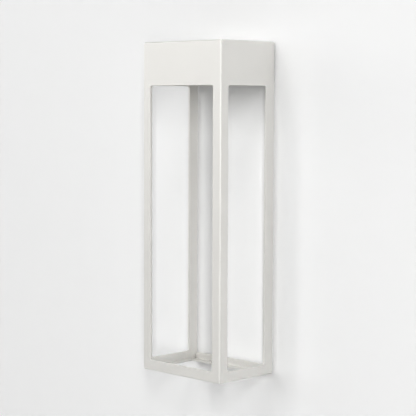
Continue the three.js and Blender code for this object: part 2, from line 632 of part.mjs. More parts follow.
function electrics() {
  piece("driver", driver(), casing);
  for (const [name, side] of [["left", -1], ["right", 1]]) {
    const seat = FLOOR + DRIVER_FOOT.high + GAP;
    const screw = panScrew(side * DRIVER_SCREW_X, DRIVER_Y, seat, M25, 4.2, false);
    piece(`driver_screw_${name}`, screw, zincSteel);
  }
  piece("terminal_block", terminalBlock(), casing);
  const earSeat = FLOOR + TERMINAL_EAR.high + GAP;
  const fixing = panScrew(TERMINAL_SCREW.x, TERMINAL_SCREW.y, earSeat, M25, 5.2, false);
  piece("terminal_fixing_screw", fixing, zincSteel);
  const clampY = TERMINAL.front + WELL.inset;
  const clampHigh = TERMINAL.high - CLAMP.high;
  ["live", "neutral", "earth"].forEach((name, i) => {
    const screw = rod("z", [POLE_X[i], clampY], CLAMP.r, TERMINAL.high - CLAMP.low, clampHigh, 12);
    const slot = box(
      POLE_X[i] - 3, POLE_X[i] + 3, clampY - CLAMP.slotHalf, clampY + CLAMP.slotHalf,
      clampHigh - CLAMP.slotDepth, TERMINAL.high,
    );
    piece(`clamp_screw_${name}`, screw.subtract(slot), brass);
  });
  earthPoint();
  wiring();
}

// ---- the wall bracket and the lock screw ----
function wallBracket() {
  const { half, low, high, thick, radius } = BRACKET;
  let bracket = prism(outlineOf(-half, half, low, high, radius), "y", -thick, 0);
  for (const side of [-1, 1]) {
    const x0 = side * HOOK.x - HOOK.width / 2;
    const x1 = x0 + HOOK.width;
    const shelf = box(x0, x1, -HOOK.reach, 0, high - thick, high);
    const upright = box(x0, x1, -HOOK.reach, -HOOK.reach + thick, high - thick, high + HOOK.rise);
    bracket = bracket.add(shelf).add(upright);
    const { x, width, length } = WALL_SLOT;
    const [slotLeft, slotRight] = [side * x - width / 2, side * x + width / 2];
    const slot = outlineOf(slotLeft, slotRight, -length / 2, length / 2, width / 2 - 0.01);
    bracket = bracket.subtract(prism(slot, "y", -thick - 1, 1, 3));
  }
  const lip = box(-LIP.half, LIP.half, -LIP.reach, 0, low, low + thick);
  const lipSlot = LIP.slotHalf;
  const slotEnd = LOCK_Y + LIP.past;
  const slot = box(-lipSlot, lipSlot, -LIP.reach - 1, slotEnd, low - 1, low + thick + 1)
    .add(rod("z", [0, slotEnd], lipSlot, low - 1, low + thick + 1, 12));
  return bracket
    .add(lip)
    .subtract(slot)
    .subtract(rod("y", [CABLE_HOLE.x, CABLE_HOLE.z], CABLE_HOLE.r, -thick - 1, 1, 24));
}

function cableGrommet() {
  const { x, z, r } = CABLE_HOLE;
  const { flange, thick, bore, back } = GROMMET;
  const front = -BRACKET.thick - GAP;
  return rod("y", [x, z], r - GAP, front, -back, 20)
    .add(rod("y", [x, z], r + flange, front - thick, front, 20))
    .subtract(rod("y", [x, z], bore, front - thick - 1, 1, 16));
}

function mounting() {
  piece("wall_bracket", wallBracket(), zincSteel);
  piece("cable_grommet", cableGrommet(), rubber);
  piece("lock_screw", panScrew(0, LOCK_Y, TRAY_LOW - GAP, M4, 12.4, true), zincSteel);
  const spacer = ring("z", [0, LOCK_Y], SPACER.r, M4.hole, FLOOR, FLOOR + SPACER.high);
  piece("lock_spacer", spacer, rubber);
  const nutLow = BRACKET.low + BRACKET.thick + GAP;
  piece("lock_nut", ring("z", [0, LOCK_Y], NUT_R, M4.hole, nutLow, nutLow + LOCK_NUT_HIGH, 6), zincSteel);
}

piece("body_shell", bodyShell(), paint);
piece("top_cover", topCover(), paint);
bodyFittings();
piece("lamp_tray", lampTray(), paint);
trayHolding();
lamp();
electrics();
mounting();

export default lantern;
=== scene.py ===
"""Outdoor wall lantern: fine meshes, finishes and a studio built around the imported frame.

The frame is in metres with +Y running into the wall and +Z up. Shapes are made in millimetres
and scaled to metres when they become pieces.
"""

import json
import logging
import math
from dataclasses import dataclass, field
from enum import Enum
from functools import cache
from typing import Any, Sequence

import bmesh
import bpy
from mathutils import Matrix, Vector


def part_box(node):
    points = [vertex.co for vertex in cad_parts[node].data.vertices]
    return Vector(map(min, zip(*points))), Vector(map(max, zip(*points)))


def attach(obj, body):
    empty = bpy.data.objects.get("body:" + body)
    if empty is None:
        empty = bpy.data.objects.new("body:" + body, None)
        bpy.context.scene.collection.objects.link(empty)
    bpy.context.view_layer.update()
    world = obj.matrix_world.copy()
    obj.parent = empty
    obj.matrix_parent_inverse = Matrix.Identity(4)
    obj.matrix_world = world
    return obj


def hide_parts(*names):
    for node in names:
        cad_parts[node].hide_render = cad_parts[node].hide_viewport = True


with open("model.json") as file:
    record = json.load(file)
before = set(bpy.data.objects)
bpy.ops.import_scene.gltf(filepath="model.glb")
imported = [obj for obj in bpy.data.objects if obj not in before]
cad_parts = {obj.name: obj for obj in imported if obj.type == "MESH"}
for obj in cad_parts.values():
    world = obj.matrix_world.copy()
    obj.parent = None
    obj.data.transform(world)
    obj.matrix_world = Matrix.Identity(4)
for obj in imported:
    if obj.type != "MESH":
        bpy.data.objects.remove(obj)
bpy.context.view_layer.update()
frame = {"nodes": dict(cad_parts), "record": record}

LOG = logging.getLogger("lantern")
# A millimetre in metres and, in millimetres, the usual gap and how far a cutter runs past its work.
MM = 0.001
GAP = 0.3
PAST = 1.0
SMOOTH_BELOW_DEG = 50.0
NORMAL_WEIGHT = 60
CORNERS = ("front_left", "front_right", "rear_left", "rear_right")

Point2 = tuple[float, float]
Point3 = tuple[float, float, float]
Colour = tuple[float, float, float]
Range = tuple[float, float]

SLOT_OF = {row["node"]: row["material_slot"] for row in frame["record"]["subparts"]}
BODY_OF = {
    node: body
    for body, nodes in frame["record"]["behaviour"]["bodies"].items()
    for node in nodes
}


class Axis(Enum):
    """A direction of the frame, with its two cross directions in the order an outline uses."""

    X = (0, 1, 2)
    Y = (1, 0, 2)
    Z = (2, 0, 1)

    def point(self, u: float, v: float, along: float) -> Vector:
        """The point at (u, v) across this axis and a distance along it."""
        made = Vector((0.0, 0.0, 0.0))
        made[self.value[0]], made[self.value[1]], made[self.value[2]] = along, u, v
        return made


class Blend(Enum):
    """How one shape works on another."""

    CUT = "DIFFERENCE"
    JOIN = "UNION"
    KEEP = "INTERSECT"


# ---- shader sheets ----


class Signal:
    """A node's output that takes part in Python sums, each of which adds its Math node."""

    def __init__(self, sheet: "Sheet", socket: bpy.types.NodeSocket) -> None:
        """Wraps an output socket of a sheet."""
        self.sheet = sheet
        self.socket = socket

    def _math(self, operation: str, first: Any, second: Any) -> "Signal":
        """Adds the Math node of one operation."""
        return self.sheet.node("ShaderNodeMath", {"operation": operation}, {0: first, 1: second})

    def __add__(self, other: Any) -> "Signal":
        """Self plus other."""
        return self._math("ADD", self, other)

    def __sub__(self, other: Any) -> "Signal":
        """Self minus other."""
        return self._math("SUBTRACT", self, other)

    def __rsub__(self, other: Any) -> "Signal":
        """Other minus self."""
        return self._math("SUBTRACT", other, self)

    def __mul__(self, other: Any) -> "Signal":
        """Self times other."""
        return self._math("MULTIPLY", self, other)

    def __gt__(self, level: Any) -> "Signal":
        """One where self is above the level, and zero elsewhere."""
        return self._math("GREATER_THAN", self, level)

    __radd__ = __add__
    __rmul__ = __mul__


class Sheet:
    """The node sheet of one material or of the sky."""

    def __init__(self, name: str, holder: bpy.types.ID | None = None) -> None:
        """Empties the sheet of a holder such as the world, or of a new material of this name."""
        self.owner = holder or bpy.data.materials.new(name)
        self.owner.use_nodes = True
        self.tree = self.owner.node_tree
        self.tree.nodes.clear()

    def node(
        self,
        kind: str,
        settings: dict[str, Any] | None = None,
        sockets: dict[Any, Any] | None = None,
        out: int | str = 0,
    ) -> Signal:
        """Adds a node.

        Args:
            kind: the node's type.
            settings: properties, which are set first. "stops" holds a ramp's (place, grey) pairs.
            sockets: a value or a Signal for each input, by name or number.
            out: which output is wanted.

        Returns:
            The wanted output, or the first input of a node that has no outputs.
        """
        made = self.tree.nodes.new(kind)
        for key, value in (settings or {}).items():
            if key == "stops":
                self._set_stops(made.color_ramp, value)
            else:
                setattr(made, key, value)
        for key, value in (sockets or {}).items():
            if isinstance(value, Signal):
                self.tree.links.new(value.socket, made.inputs[key])
            elif isinstance(value, tuple) and len(made.inputs[key].default_value) > len(value):
                made.inputs[key].default_value = (*value, 1.0)
            else:
                made.inputs[key].default_value = value
        return Signal(self, made.outputs[out] if made.outputs else made.inputs[0])

    @staticmethod
    def _set_stops(ramp: bpy.types.ColorRamp, stops: Sequence[Point2]) -> None:
        """Gives a ramp's two ends their places and greys."""
        for element, (place, grey) in zip(ramp.elements, stops):
            element.position = place
            element.color = (grey, grey, grey, 1.0)

    def place(self, stretch: Point3 = (1.0, 1.0, 1.0)) -> Signal:
        """The point on the piece in metres, with each direction scaled."""
        point = self.node("ShaderNodeTexCoord", out="Object")
        return self.node("ShaderNodeVectorMath", {"operation": "MULTIPLY"}, {0: point, 1: stretch})

    def noise(self, per_metre: float, detail: float = 2.0, stretch: Point3 = (1.0, 1.0, 1.0)) -> Signal:
        """Smooth noise between 0 and 1.

        Args:
            per_metre: how many lumps lie in a metre.
            detail: how many finer layers it has.
            stretch: how much denser it is along each direction.

        Returns:
            The noise's value.
        """
        sockets = {"Vector": self.place(stretch), "Scale": per_metre, "Detail": detail}
        return self.node("ShaderNodeTexNoise", None, sockets)

    def ramp(self, value: Signal, *stops: Point2) -> Signal:
        """Passes a value through a ramp of greys."""
        return self.node("ShaderNodeValToRGB", {"stops": stops}, {0: value})

    def mix(self, factor: Any, first: Any, second: Any) -> Signal:
        """Mixes two colours."""
        return self.node("ShaderNodeMix", {"data_type": "RGBA"}, {0: factor, 6: first, 7: second}, out=2)

    def bump(self, height: Signal, depth_mm: float, under: Signal | None = None) -> Signal:
        """A normal that follows a height.

        Args:
            height: the height, from 0 to 1.
            depth_mm: how far 1 stands above 0.
            under: the normal that it is laid on.

        Returns:
            The bent normal.
        """
        sockets: dict[Any, Any] = {"Height": height, "Distance": depth_mm * MM}
        if under:
            sockets["Normal"] = under
        return self.node("ShaderNodeBump", None, sockets, out="Normal")

    def finished(self, **sockets: Any) -> bpy.types.Material:
        """Ends the sheet in a Principled shader.

        Args:
            **sockets: its inputs, with _ for a space.

        Returns:
            The material.
        """
        named = {key.replace("_", " "): value for key, value in sockets.items()}
        shader = self.node("ShaderNodeBsdfPrincipled", None, named)
        self.node("ShaderNodeOutputMaterial", None, {"Surface": shader})
        return self.owner


# ---- finishes ----


def shade(colour: Colour, factor: float) -> Colour:
    """A colour made lighter or darker."""
    return tuple(min(1.0, channel * factor) for channel in colour)


@dataclass(frozen=True)
class PowderCoat:
    """Satin polyester powder coat with a pearl pigment: orange peel, a fine grain and a few flecks."""

    colour: Colour = (0.795, 0.788, 0.768)
    pearl: float = 0.3
    cloud_per_metre: float = 14.0
    mottle: float = 0.018
    fleck_per_metre: float = 2600.0
    fleck_above: float = 0.74
    fleck_share: float = 0.25
    fleck_shade: float = 0.72
    peel_per_metre: float = 420.0
    peel_depth_mm: float = 0.012
    grain_per_metre: float = 3600.0
    grain_depth_mm: float = 0.004
    roughness: Range = (0.38, 0.48)
    ior: float = 1.5

    def material(self, name: str) -> bpy.types.Material:
        """Builds the coat's material."""
        sheet = Sheet(name)
        cloud = sheet.noise(self.cloud_per_metre, 4.0)
        base = sheet.mix(cloud, shade(self.colour, 1 - self.mottle), shade(self.colour, 1 + self.mottle))
        fleck = sheet.noise(self.fleck_per_metre, 1.0) > self.fleck_above
        base = sheet.mix(fleck * self.fleck_share, base, shade(self.colour, self.fleck_shade))
        peel = sheet.noise(self.peel_per_metre, 1.0)
        grain = sheet.noise(self.grain_per_metre, 1.0)
        low, high = self.roughness
        rough = low + (high - low) * (0.6 * grain + 0.4 * cloud)
        normal = sheet.bump(grain, self.grain_depth_mm, sheet.bump(peel, self.peel_depth_mm))
        return sheet.finished(
            Base_Color=base, Metallic=self.pearl, Roughness=rough, Normal=normal, IOR=self.ior
        )


@dataclass(frozen=True)
class Metal:
    """A bare or plated metal with clouds in its tone and fine lines or grains in its surface."""

    colour: Colour
    roughness: Range
    cloud_per_metre: float = 60.0
    contrast: float = 0.12
    line_stretch: Point3 = (1.0, 1.0, 1.0)
    line_per_metre: float = 2200.0
    line_depth_mm: float = 0.006

    def material(self, name: str) -> bpy.types.Material:
        """Builds the metal's material."""
        sheet = Sheet(name)
        cloud = sheet.ramp(sheet.noise(self.cloud_per_metre, 3.0), (0.3, 0.0), (0.7, 1.0))
        lines = sheet.noise(self.line_per_metre, 2.0, self.line_stretch)
        base = sheet.mix(cloud, shade(self.colour, 1 - self.contrast), shade(self.colour, 1 + self.contrast))
        low, high = self.roughness
        rough = low + (high - low) * (0.5 * cloud + 0.5 * lines)
        normal = sheet.bump(lines, self.line_depth_mm)
        return sheet.finished(Base_Color=base, Metallic=1.0, Roughness=rough, Normal=normal)


@dataclass(frozen=True)
class Moulding:
    """A moulded plastic or rubber with a spark-eroded grain."""

    colour: Colour
    roughness: Range
    grain_per_metre: float = 2400.0
    grain_depth_mm: float = 0.01
    bloom: float = 0.06
    cloud_per_metre: float = 45.0

    def material(self, name: str) -> bpy.types.Material:
        """Builds the moulding's material."""
        sheet = Sheet(name)
        cloud = sheet.noise(self.cloud_per_metre, 3.0)
        grain = sheet.noise(self.grain_per_metre, 2.0)
        base = sheet.mix(cloud, shade(self.colour, 1 - self.bloom), shade(self.colour, 1 + self.bloom))
        low, high = self.roughness
        rough = low + (high - low) * grain
        return sheet.finished(Base_Color=base, Roughness=rough, Normal=sheet.bump(grain, self.grain_depth_mm))


@dataclass(frozen=True)
class Opal:
    """Opal polycarbonate, which glows a little below its surface."""

    colour: Colour = (0.86, 0.86, 0.84)
    mottle: float = 0.03
    cloud_per_metre: float = 30.0
    ripple_per_metre: float = 160.0
    ripple_depth_mm: float = 0.02
    roughness: Range = (0.22, 0.30)
    glow: float = 0.35
    glow_depth: float = 0.003
    ior: float = 1.58

    def material(self, name: str) -> bpy.types.Material:
        """Builds the lens material."""
        sheet = Sheet(name)
        cloud = sheet.noise(self.cloud_per_metre, 2.0)
        base = sheet.mix(cloud, shade(self.colour, 1 - self.mottle), shade(self.colour, 1 + self.mottle))
        ripple = sheet.noise(self.ripple_per_metre, 1.0)
        low, high = self.roughness
        return sheet.finished(
            Base_Color=base,
            Roughness=low + (high - low) * cloud,
            Normal=sheet.bump(ripple, self.ripple_depth_mm),
            Subsurface_Weight=self.glow,
            Subsurface_Scale=self.glow_depth,
            IOR=self.ior,
        )


@dataclass(frozen=True)
class CircuitBoard:
    """White solder mask over copper tracks, which stand up through it as a faint grid."""

    mask: Colour = (0.80, 0.82, 0.79)
    track: Colour = (0.62, 0.70, 0.60)
    pitch_per_metre: float = 190.0
    unevenness: float = 0.25
    track_edge: Range = (0.05, 0.11)
    track_depth_mm: float = 0.035
    grain_per_metre: float = 900.0
    roughness: Range = (0.38, 0.50)

    def material(self, name: str) -> bpy.types.Material:
        """Builds the board's material."""
        sheet = Sheet(name)
        cells = {"Vector": sheet.place(), "Scale": self.pitch_per_metre, "Randomness": self.unevenness}
        edge = sheet.node("ShaderNodeTexVoronoi", {"feature": "DISTANCE_TO_EDGE"}, cells)
        full, none = self.track_edge
        track = sheet.ramp(edge, (full, 1.0), (none, 0.0))
        base = sheet.mix(track, self.mask, self.track)
        low, high = self.roughness
        rough = low + (high - low) * sheet.noise(self.grain_per_metre, 2.0)
        normal = sheet.bump(track, self.track_depth_mm)
        return sheet.finished(Base_Color=base, Roughness=rough, Normal=normal)


@dataclass(frozen=True)
class Phosphor:
    """Yellow phosphor gel over a close grid of light-emitting dice."""

    gel: Colour = (0.82, 0.62, 0.10)
    die: Colour = (0.62, 0.40, 0.05)
    pitch_per_metre: float = 620.0
    die_edge: Range = (0.25, 0.4)
    die_share: float = 0.5
    die_depth_mm: float = 0.03
    grain_per_metre: float = 700.0
    roughness: Range = (0.30, 0.45)

    def material(self, name: str) -> bpy.types.Material:
        """Builds the phosphor's material."""
        sheet = Sheet(name)
        cells = {"Vector": sheet.place(), "Scale": self.pitch_per_metre, "Randomness": 0.0}
        full, none = self.die_edge
        die = sheet.ramp(sheet.node("ShaderNodeTexVoronoi", None, cells), (full, 1.0), (none, 0.0))
        base = sheet.mix(self.die_share * die, self.gel, self.die)
        low, high = self.roughness
        rough = low + (high - low) * sheet.noise(self.grain_per_metre, 2.0)
        normal = sheet.bump(die, self.die_depth_mm)
        return sheet.finished(Base_Color=base, Roughness=rough, Normal=normal)


def insulation(colour: Colour, bloom: float = 0.10) -> Moulding:
    """The smooth plastic sheath of a lead."""
    return Moulding(colour, (0.36, 0.50), grain_per_metre=1500.0, grain_depth_mm=0.01, bloom=bloom)


FINISHES: dict[str, Any] = {
    "paint": PowderCoat(),
    "cast_aluminium": Metal(
        (0.60, 0.61, 0.62), (0.38, 0.55), cloud_per_metre=90.0, contrast=0.08,
        line_per_metre=1500.0, line_depth_mm=0.05,
    ),
    "extruded_aluminium": Metal(
        (0.66, 0.67, 0.68), (0.28, 0.42), cloud_per_metre=50.0, contrast=0.06,
        line_stretch=(1.0, 0.03, 1.0), line_per_metre=1800.0, line_depth_mm=0.012,
    ),
    "zinc_steel": Metal((0.64, 0.66, 0.68), (0.26, 0.44), cloud_per_metre=120.0, contrast=0.14),
    "brass": Metal((0.72, 0.53, 0.24), (0.22, 0.38), cloud_per_metre=150.0, contrast=0.10),
    "opal_lens": Opal(),
    "reflector_white": Moulding(
        (0.86, 0.86, 0.85), (0.42, 0.55), grain_per_metre=1800.0, grain_depth_mm=0.008, bloom=0.02
    ),
    "board": CircuitBoard(),
    "phosphor": Phosphor(),
    "rubber_black": Moulding(
        (0.022, 0.022, 0.023), (0.62, 0.82), grain_per_metre=1600.0, grain_depth_mm=0.03, bloom=0.25
    ),
    "silicone": Moulding(
        (0.60, 0.61, 0.60), (0.52, 0.68), grain_per_metre=1200.0, grain_depth_mm=0.02, bloom=0.05
    ),
    "casing": Moulding(
        (0.76, 0.76, 0.73), (0.40, 0.56), grain_per_metre=2600.0, grain_depth_mm=0.02, bloom=0.03
    ),
    "wire_brown": insulation((0.105, 0.042, 0.018)),
    "wire_blue": insulation((0.030, 0.115, 0.390)),
    "wire_green": insulation((0.120, 0.330, 0.045)),
    "wire_yellow": insulation((0.720, 0.560, 0.040)),
    "wire_red": insulation((0.380, 0.032, 0.021)),
    "wire_black": insulation((0.014, 0.014, 0.015), bloom=0.20),
}


@cache
def finish(name: str) -> bpy.types.Material:
    """The material of a finish, built when it is first asked for and kept apart from its CAD namesake."""
    return FINISHES[name].material("fine_" + name)


# ---- outlines ----


def arc(centre: Point2, radius: float, start_deg: float, end_deg: float, steps: int) -> list[Point2]:
    """Points on an arc, both ends included."""
    angles = [math.radians(start_deg + (end_deg - start_deg) * i / steps) for i in range(steps + 1)]
    return [(centre[0] + radius * math.cos(a), centre[1] + radius * math.sin(a)) for a in angles]


def rectangle(u: Range, v: Range, radii: float | Sequence[float] = 0.0, steps: int = 6) -> list[Point2]:
    """A rectangle with rounded corners.

    Args:
        u: its left and right.
        v: its bottom and top.
        radii: one radius, or those of the corners low left, low right, high right, high left.
        steps: how many straight steps each round corner has.

    Returns:
        The outline, counter-clockwise.
    """
    four = [radii] * 4 if isinstance(radii, (int, float)) else list(radii)
    corners = [(u[0], v[0], 1, 1), (u[1], v[0], -1, 1), (u[1], v[1], -1, -1), (u[0], v[1], 1, -1)]
    outline: list[Point2] = []
    for turn, (radius, (cu, cv, su, sv)) in enumerate(zip(four, corners)):
        if radius:
            start = 180 + 90 * turn
            outline += arc((cu + su * radius, cv + sv * radius), radius, start, start + 90, steps)
        else:
            outline.append((cu, cv))
    return outline


def angle_section(
    heel: Point2, legs: Point2, thick: float, outer: float, inner: float, steps: int = 6
) -> list[Point2]:
    """A folded L section.

    Args:
        heel: its outer corner, before it is rounded.
        legs: how far each leg runs from the heel, with its sign.
        thick: the sheet's thickness.
        outer: the radius outside the fold.
        inner: the radius inside the fold.
        steps: how many straight steps each fold has.

    Returns:
        The outline.
    """
    (hu, hv), (lu, lv) = heel, legs
    su, sv = math.copysign(1, lu), math.copysign(1, lv)
    turns = [math.pi / 2 * i / steps for i in range(steps + 1)]
    fold = [(outer * (1 - math.sin(a)), outer * (1 - math.cos(a))) for a in turns]
    crook = [(thick + inner * (1 - math.cos(a)), thick + inner * (1 - math.sin(a))) for a in turns]
    first_end = [(abs(lu), 0.0), (abs(lu), thick)]
    second_end = [(thick, abs(lv)), (0.0, abs(lv))]
    local = [*reversed(fold), *first_end, *reversed(crook), *second_end]
    return [(hu + su * u, hv + sv * v) for u, v in local]


def past(span: Range, by: float = PAST) -> Range:
    """A span made longer at both ends, so that a cutter runs right through."""
    return span[0] - by, span[1] + by


def astride(middle: float, half: float) -> Range:
    """The span that reaches equally far to both sides of a place."""
    return middle - half, middle + half


# ---- shapes ----


class Shape:
    """A closed mesh in millimetres that is cut, joined and rounded before it becomes a piece."""

    MEET = 0.001
    MEET_BEFORE_ROUNDING = 0.002
    SLIT_SIDES = 8

    def __init__(self, bm: bmesh.types.BMesh) -> None:
        """Takes over a bmesh and turns its faces outwards."""
        bmesh.ops.recalc_face_normals(bm, faces=bm.faces)
        mesh = bpy.data.meshes.new("shape")
        bm.to_mesh(mesh)
        bm.free()
        self.thing = bpy.data.objects.new("shape", mesh)
        bpy.context.scene.collection.objects.link(self.thing)

    @classmethod
    def loft(cls, rings: Sequence[Sequence[Vector]], closed: bool = False) -> "Shape":
        """Joins rings of equally many points.

        Args:
            rings: the rings in order.
            closed: whether the last ring joins the first. If not, both ends are capped.

        Returns:
            The shape.
        """
        bm = bmesh.new()
        made = [[bm.verts.new(point) for point in ring] for ring in rings]
        pairs = list(zip(made, made[1:])) + ([(made[-1], made[0])] if closed else [])
        for low, high in pairs:
            for i in range(len(low)):
                j = (i + 1) % len(low)
                bm.faces.new((low[i], low[j], high[j], high[i]))
        if not closed:
            bm.faces.new(made[0])
            bm.faces.new(made[-1])
        return cls(bm)

    @classmethod
    def prism(cls, outline: Sequence[Point2], axis: Axis, along: Range) -> "Shape":
        """Extrudes an outline along an axis."""
        return cls.loft([[axis.point(u, v, at) for u, v in outline] for at in along])

    @classmethod
    def turned(
        cls,
        profile: Sequence[Point2],
        axis: Axis,
        centre: Point2,
        bored: bool = False,
        sides: int = 32,
    ) -> "Shape":
        """Turns a profile of (radius, place along the axis) points.

        Args:
            profile: the points, from one end face to the other.
            axis: the axis that it is turned about.
            centre: where that axis stands, in the axis's two cross directions.
            bored: whether the profile closes on itself, round a bore.
            sides: how many flats make the round.

        Returns:
            The shape.
        """
        angles = [math.radians(360 * i / sides) for i in range(sides)]
        rings = [
            [axis.point(centre[0] + r * math.cos(a), centre[1] + r * math.sin(a), at) for a in angles]
            for r, at in profile
        ]
        return cls.loft(rings, closed=bored)

    @classmethod
    def rod(cls, radius: float, axis: Axis, centre: Point2, along: Range, sides: int = 32) -> "Shape":
        """A plain round rod, which mostly cuts a hole."""
        return cls.turned([(radius, along[0]), (radius, along[1])], axis, centre, sides=sides)

    @classmethod
    def block(cls, x: Range, y: Range, z: Range, radius: float = 0.0, steps: int = 6) -> "Shape":
        """A box, whose edges may all be rounded."""
        bm = bmesh.new()
        bmesh.ops.create_cube(bm, size=1.0)
        for vert in bm.verts:
            vert.co = [low + (high - low) * (c + 0.5) for c, (low, high) in zip(vert.co, (x, y, z))]
        if radius:
            bmesh.ops.bevel(bm, geom=bm.edges[:], offset=radius, segments=steps, profile=0.5,
                            affect="EDGES", clamp_overlap=False)
        return cls(bm)

    def _work(self, kind: str, **settings: Any) -> "Shape":
        """Runs one modifier on the mesh and keeps its result."""
        modifier = self.thing.modifiers.new(kind.lower(), kind)
        for key, value in settings.items():
            setattr(modifier, key, value)
        graph = bpy.context.evaluated_depsgraph_get()
        made = bpy.data.meshes.new_from_object(self.thing.evaluated_get(graph))
        self.thing.modifiers.clear()
        old = self.thing.data
        self.thing.data = made
        bpy.data.meshes.remove(old)
        return self

    def _with(self, others: Sequence["Shape"], how: Blend) -> "Shape":
        """Works other shapes on this one, one after another, and uses them up."""
        for other in others:
            self._work("BOOLEAN", operation=how.value, solver="EXACT", object=other.thing)
            mesh = other.thing.data
            bpy.data.objects.remove(other.thing)
            bpy.data.meshes.remove(mesh)
        return self

    def cut(self, *others: "Shape") -> "Shape":
        """Takes other shapes away from this one."""
        return self._with(others, Blend.CUT)

    def join(self, *others: "Shape") -> "Shape":
        """Adds other shapes to this one."""
        return self._with(others, Blend.JOIN)

    def keep(self, *others: "Shape") -> "Shape":
        """Keeps what is also inside other shapes."""
        return self._with(others, Blend.KEEP)

    def soften(self, width: float, segments: int = 2, above_deg: float = 40.0) -> "Shape":
        """Rounds every edge that turns more sharply than an angle."""
        self._clean(self.MEET_BEFORE_ROUNDING)
        return self._work(
            "BEVEL",
            width=width,
            segments=segments,
            limit_method="ANGLE",
            angle_limit=math.radians(above_deg),
            use_clamp_overlap=False,
            miter_outer="MITER_ARC",
        )

    def spun(self, degrees: float, axis: Axis, about: Point3) -> "Shape":
        """Turns the shape about an axis through a point."""
        turn = Matrix.Rotation(math.radians(degrees), 4, axis.name)
        self.thing.data.transform(Matrix.Translation(about) @ turn @ Matrix.Translation(-Vector(about)))
        return self

    def _clean(self, near: float, slit_sides: int = 0) -> None:
        """Merges points that meet, drops slivers and may close the slits that cutting leaves.

        Args:
            near: points nearer than this are one, and a face under half as thin is a sliver.
            slit_sides: slits of up to this many edges are closed, or none if it is 0.
        """
        bm = bmesh.new()
        bm.from_mesh(self.thing.data)
        bmesh.ops.remove_doubles(bm, verts=bm.verts, dist=near)
        bmesh.ops.dissolve_degenerate(bm, edges=bm.edges, dist=near / 2)
        rim = [edge for edge in bm.edges if len(edge.link_faces) == 1]
        if rim and slit_sides:
            bmesh.ops.holes_fill(bm, edges=rim, sides=slit_sides)
        bm.to_mesh(self.thing.data)
        bm.free()

    def piece(self, node: str, finish_name: str | None = None, *more: str) -> bpy.types.Object:
        """Ends the work: the shape becomes the piece that stands for a CAD node.

        Args:
            node: the CAD node.
            finish_name: its finish, or None for the finish of its slot.
            *more: further finishes, for faces that ask for them by number.

        Returns:
            The piece.
        """
        self._clean(self.MEET, self.SLIT_SIDES)
        mesh = self.thing.data
        mesh.transform(Matrix.Scale(MM, 4))
        mesh.polygons.foreach_set("use_smooth", [True] * len(mesh.polygons))
        mesh.set_sharp_from_angle(angle=math.radians(SMOOTH_BELOW_DEG))
        self._work("WEIGHTED_NORMAL", keep_sharp=True, weight=NORMAL_WEIGHT)
        mesh = self.thing.data
        mesh.materials.clear()
        for name in (finish_name or SLOT_OF[node], *more):
            mesh.materials.append(finish(name))
        mesh.name = self.thing.name = node + ".fine"
        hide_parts(node)
        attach(self.thing, BODY_OF[node])
        LOG.info("%s: %d faces, finish %s", node, len(mesh.polygons), mesh.materials[0].name)
        return self.thing


@dataclass(frozen=True)
class Extent:
    """The box of a CAD node, in millimetres."""

    x: Range
    y: Range
    z: Range

    @classmethod
    def of(cls, node: str) -> "Extent":
        """Reads a node's box from the frame."""
        low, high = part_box(node)
        return cls(*((low[i] / MM, high[i] / MM) for i in range(3)))

    @property
    def middle(self) -> Point3:
        """The box's centre."""
        return tuple((low + high) / 2 for low, high in (self.x, self.y, self.z))

    @property
    def radius(self) -> float:
        """Half of the box's width, for a round node."""
        return self.size[0] / 2

    @property
    def size(self) -> Point3:
        """How long the box is along each direction."""
        return tuple(high - low for low, high in (self.x, self.y, self.z))


# ---- the folded body ----


